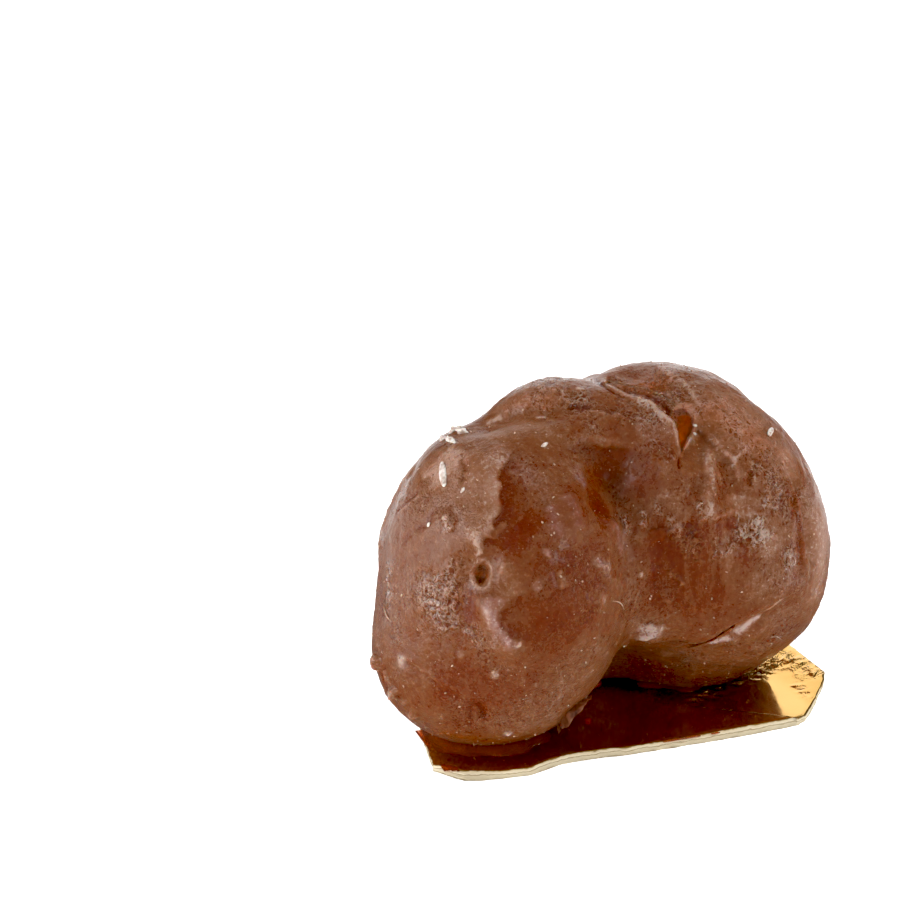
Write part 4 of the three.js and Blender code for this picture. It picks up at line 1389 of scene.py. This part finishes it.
def evenly(path, count):
    """A smooth path through pixels as count points."""
    points = np.array(smooth_path(path, step=2))
    own, at = np.linspace(0, 1, len(points)), np.linspace(0, 1, count)
    return np.column_stack([np.interp(at, own, points[:, 0]), np.interp(at, own, points[:, 1])])


def glaze_sliver(skin):
    """A curled leaf of glaze: a thin strip between its two edges."""
    sheet = []
    for outer, inner in zip(evenly(SLIVER_OUTER, SLIVER_ROWS), evenly(SLIVER_INNER, SLIVER_ROWS)):
        # The leaf is as far off as the skin that the camera first meets up and left of its root.
        for back in range(0, ROOT_FROM, 2):
            root = skin.hit(inner - back * ROOT_STEP)
            if root:
                break
        far = np.linalg.norm(root[0] - EYE)
        sheet.extend(EYE + ray_of(inner + (outer - inner) * w) * (far - SLIVER_LEAN * w)
                     for w in SLIVER_ACROSS)
    sheet = np.array(sheet)
    sheet = sheet + SLIVER_CURL * np.stack([ripple(sheet, 0.8, 41 + k) for k in range(3)], 1)
    toward = (EYE - sheet) / np.linalg.norm(EYE - sheet, axis=1)[:, None] * SLIVER_HALF
    total = len(sheet)
    rows = np.arange(total).reshape(SLIVER_ROWS, -1)
    faces = []
    for r, w in np.ndindex(SLIVER_ROWS - 1, len(SLIVER_ACROSS) - 1):
        a, b, c, d = rows[r, w], rows[r, w + 1], rows[r + 1, w + 1], rows[r + 1, w]
        faces.append((a, b, c, d))
        faces.append((total + d, total + c, total + b, total + a))
    loop = [*rows[0], *rows[1:, -1], *rows[-1, -2::-1], *rows[-2:0:-1, 0]]
    for p, q in zip(loop, loop[1:] + loop[:1]):
        faces.append((p, total + p, total + q, q))
    return np.vstack([sheet + toward, sheet - toward]), faces


# ---- The set ----
# The paper in mm. Depths count from the sweet, away from the camera.
PAPER_START = -500
PAPER_BACK = 200  # where the sweep begins to rise
PAPER_BEND = 240  # the radius it rises with
PAPER_TOP = 600
PAPER_HALF = 600
NEAR_EDGE = -20  # the paper nearer than this isn't mirrored
UNDER = 50  # nor is the patch under the sweet, as far as this to each side and behind
WALL_HALF = 110  # half the width of the wall that is mirrored

# Soft boxes: their places and sizes in mm, their power in watts, and whether the glaze mirrors them.
LIGHTS = [
    ("left_soft_box", (-313, 27, 120), 180, 0.45, True),
    ("right_soft_box", (260, -60, 260), 120, 0.62, False),
    ("front_card", (150, -282, 131), 80, 0.1, True),
    ("left_card", (-200, -40, 40), 130, 0.1, True),
    ("right_card", (230, 30, 60), 130, 0.1, False),
    ("top_soft_box", (20, 160, 380), 200, 0.35, False),
    ("front_fill", (-140, -320, 160), 260, 0.5, False),
]


def make_set():
    """A white sweep of paper, facing the camera. It glows a little, less towards the camera: painted light
    that keeps the paper white and softens the sweet's shadow on it."""
    material, tree, shader = new_material("white_studio_paper")
    place = add(tree, "ShaderNodeTexCoord").outputs["Object"]
    turned = add(tree, "ShaderNodeMapping", {"Vector": place,
                                             "Rotation": (0, 0, math.radians(-VIEW_AZIMUTH))})
    depth = add(tree, "ShaderNodeSeparateXYZ", {0: turned}).outputs["Y"]
    # Painted light: the paper glows by itself, less towards the camera.
    glow = add(tree, "ShaderNodeMapRange", {"Value": depth, "From Min": -160 * MM, "From Max": -50 * MM,
                                            "To Min": 0.1, "To Max": 0.65})
    feed(tree, shader, {"Base Color": linear("f4f4f4"), "Roughness": 0.9, "Specular IOR Level": 0.0,
                        "Emission Color": linear("ffffff"), "Emission Strength": glow})
    wall = [(PAPER_BACK + PAPER_BEND * math.sin(t), PAPER_BEND * (1 - math.cos(t)))
            for t in np.radians(range(0, 91, 6))]
    wall.append((PAPER_BACK + PAPER_BEND, PAPER_TOP))
    beside = [(NEAR_EDGE, 0), (UNDER, 0)]
    for name, strips in (
            ("paper_near", [(-PAPER_HALF, PAPER_HALF, [(PAPER_START, 0), (NEAR_EDGE, 0)]),
                            (-UNDER, UNDER, beside)]),
            ("paper_floor", [(-PAPER_HALF, -UNDER, beside), (UNDER, PAPER_HALF, beside),
                             (-PAPER_HALF, PAPER_HALF, [(UNDER, 0), (PAPER_BACK, 0)])]),
            ("paper_wall", [(-WALL_HALF, WALL_HALF, wall)]),
            ("paper_wall_sides", [(-PAPER_HALF, -WALL_HALF, wall), (WALL_HALF, PAPER_HALF, wall)])):
        piece = paper(name, strips, material)
        # Flags keep the glare of the nearest paper and of the wall's two sides out of the glaze.
        piece.visible_glossy = name in ("paper_floor", "paper_wall")


def paper(name, strips, material):
    """A part of the sweep. Each strip runs from one place across to another, with its section away
    from the camera as depths and heights."""
    turn = math.radians(-VIEW_AZIMUTH)
    vertices, faces = [], []
    for left, right, section in strips:
        start = len(vertices)
        vertices.extend((x * math.cos(turn) + y * math.sin(turn),
                         -x * math.sin(turn) + y * math.cos(turn), z)
                        for y, z in section for x in (left, right))
        faces.extend((a, a + 1, a + 3, a + 2) for a in range(start, len(vertices) - 2, 2))
    return mesh_piece(name, vertices, faces, material)


def make_light():
    """Square soft boxes turned to the sweet, and the room's own faint light."""
    for name, place, size, power, mirrored in LIGHTS:
        data = bpy.data.lights.new(name, "AREA")
        data.size = size * MM
        data.energy = power
        light = new_object(name, data)
        light.location = Vector(place) * MM
        light.rotation_mode = "QUATERNION"
        light.rotation_quaternion = (Vector(HEART) - Vector(place)).to_track_quat("-Z", "Y")
        light.visible_glossy = mirrored
    world = bpy.data.worlds.new("studio")
    world.use_nodes = True
    bpy.context.scene.world = world
    feed(world.node_tree, world.node_tree.nodes["Background"],
         {"Color": linear("ffffff"), "Strength": 0.15})
    look = bpy.context.scene.view_settings
    look.view_transform = "Standard"
    look.use_curve_mapping = True
    look.curve_mapping.black_level = (0.01, 0.01, 0.01)
    look.curve_mapping.update()


def place_piece(piece, slot, *nodes):
    """Puts a piece on the root body and hides the CAD nodes that it replaces; its slot is not used."""
    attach(piece, "root")
    if nodes:
        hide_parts(*nodes)


make_camera()
syrup, sugar, specks = clear_syrup(), dry_sugar(), sugar_specks()
chestnut, skin = make_chestnut(candied_flesh())
place_piece(chestnut, "candied_chestnut", "chestnut")
place_piece(make_card(gold_foil(), cut_board()), "gold_card", "gold_card")
place_piece(make_syrup(chestnut, syrup), "candied_chestnut")
for name, shape, finish in (
        ("syrup_drop", syrup_drop(), red_syrup()),
        ("sugar_grains", sugar_grains(skin, SUGAR_GRAINS, rough=0.08, seed=51), sugar),
        ("sugar_crumbs", sugar_grains(skin, SUGAR_CRUMBS, rough=0.3, seed=71), sugar),
        ("sugar_threads", sugar_threads(skin), specks),
        ("glaze_sliver", glaze_sliver(skin), glaze_leaf())):
    place_piece(mesh_piece(name, *shape, finish), "candied_chestnut")
dust = grown(chestnut, "sugar_dust", sugar_dust(), {
    "Grains per square metre": 0.5 / MM ** 2, "Smallest": 0.03 * MM, "Largest": 0.12 * MM,
    "Seed": 3, "Sugar": specks})
place_piece(dust, "candied_chestnut")

make_set()
make_light()
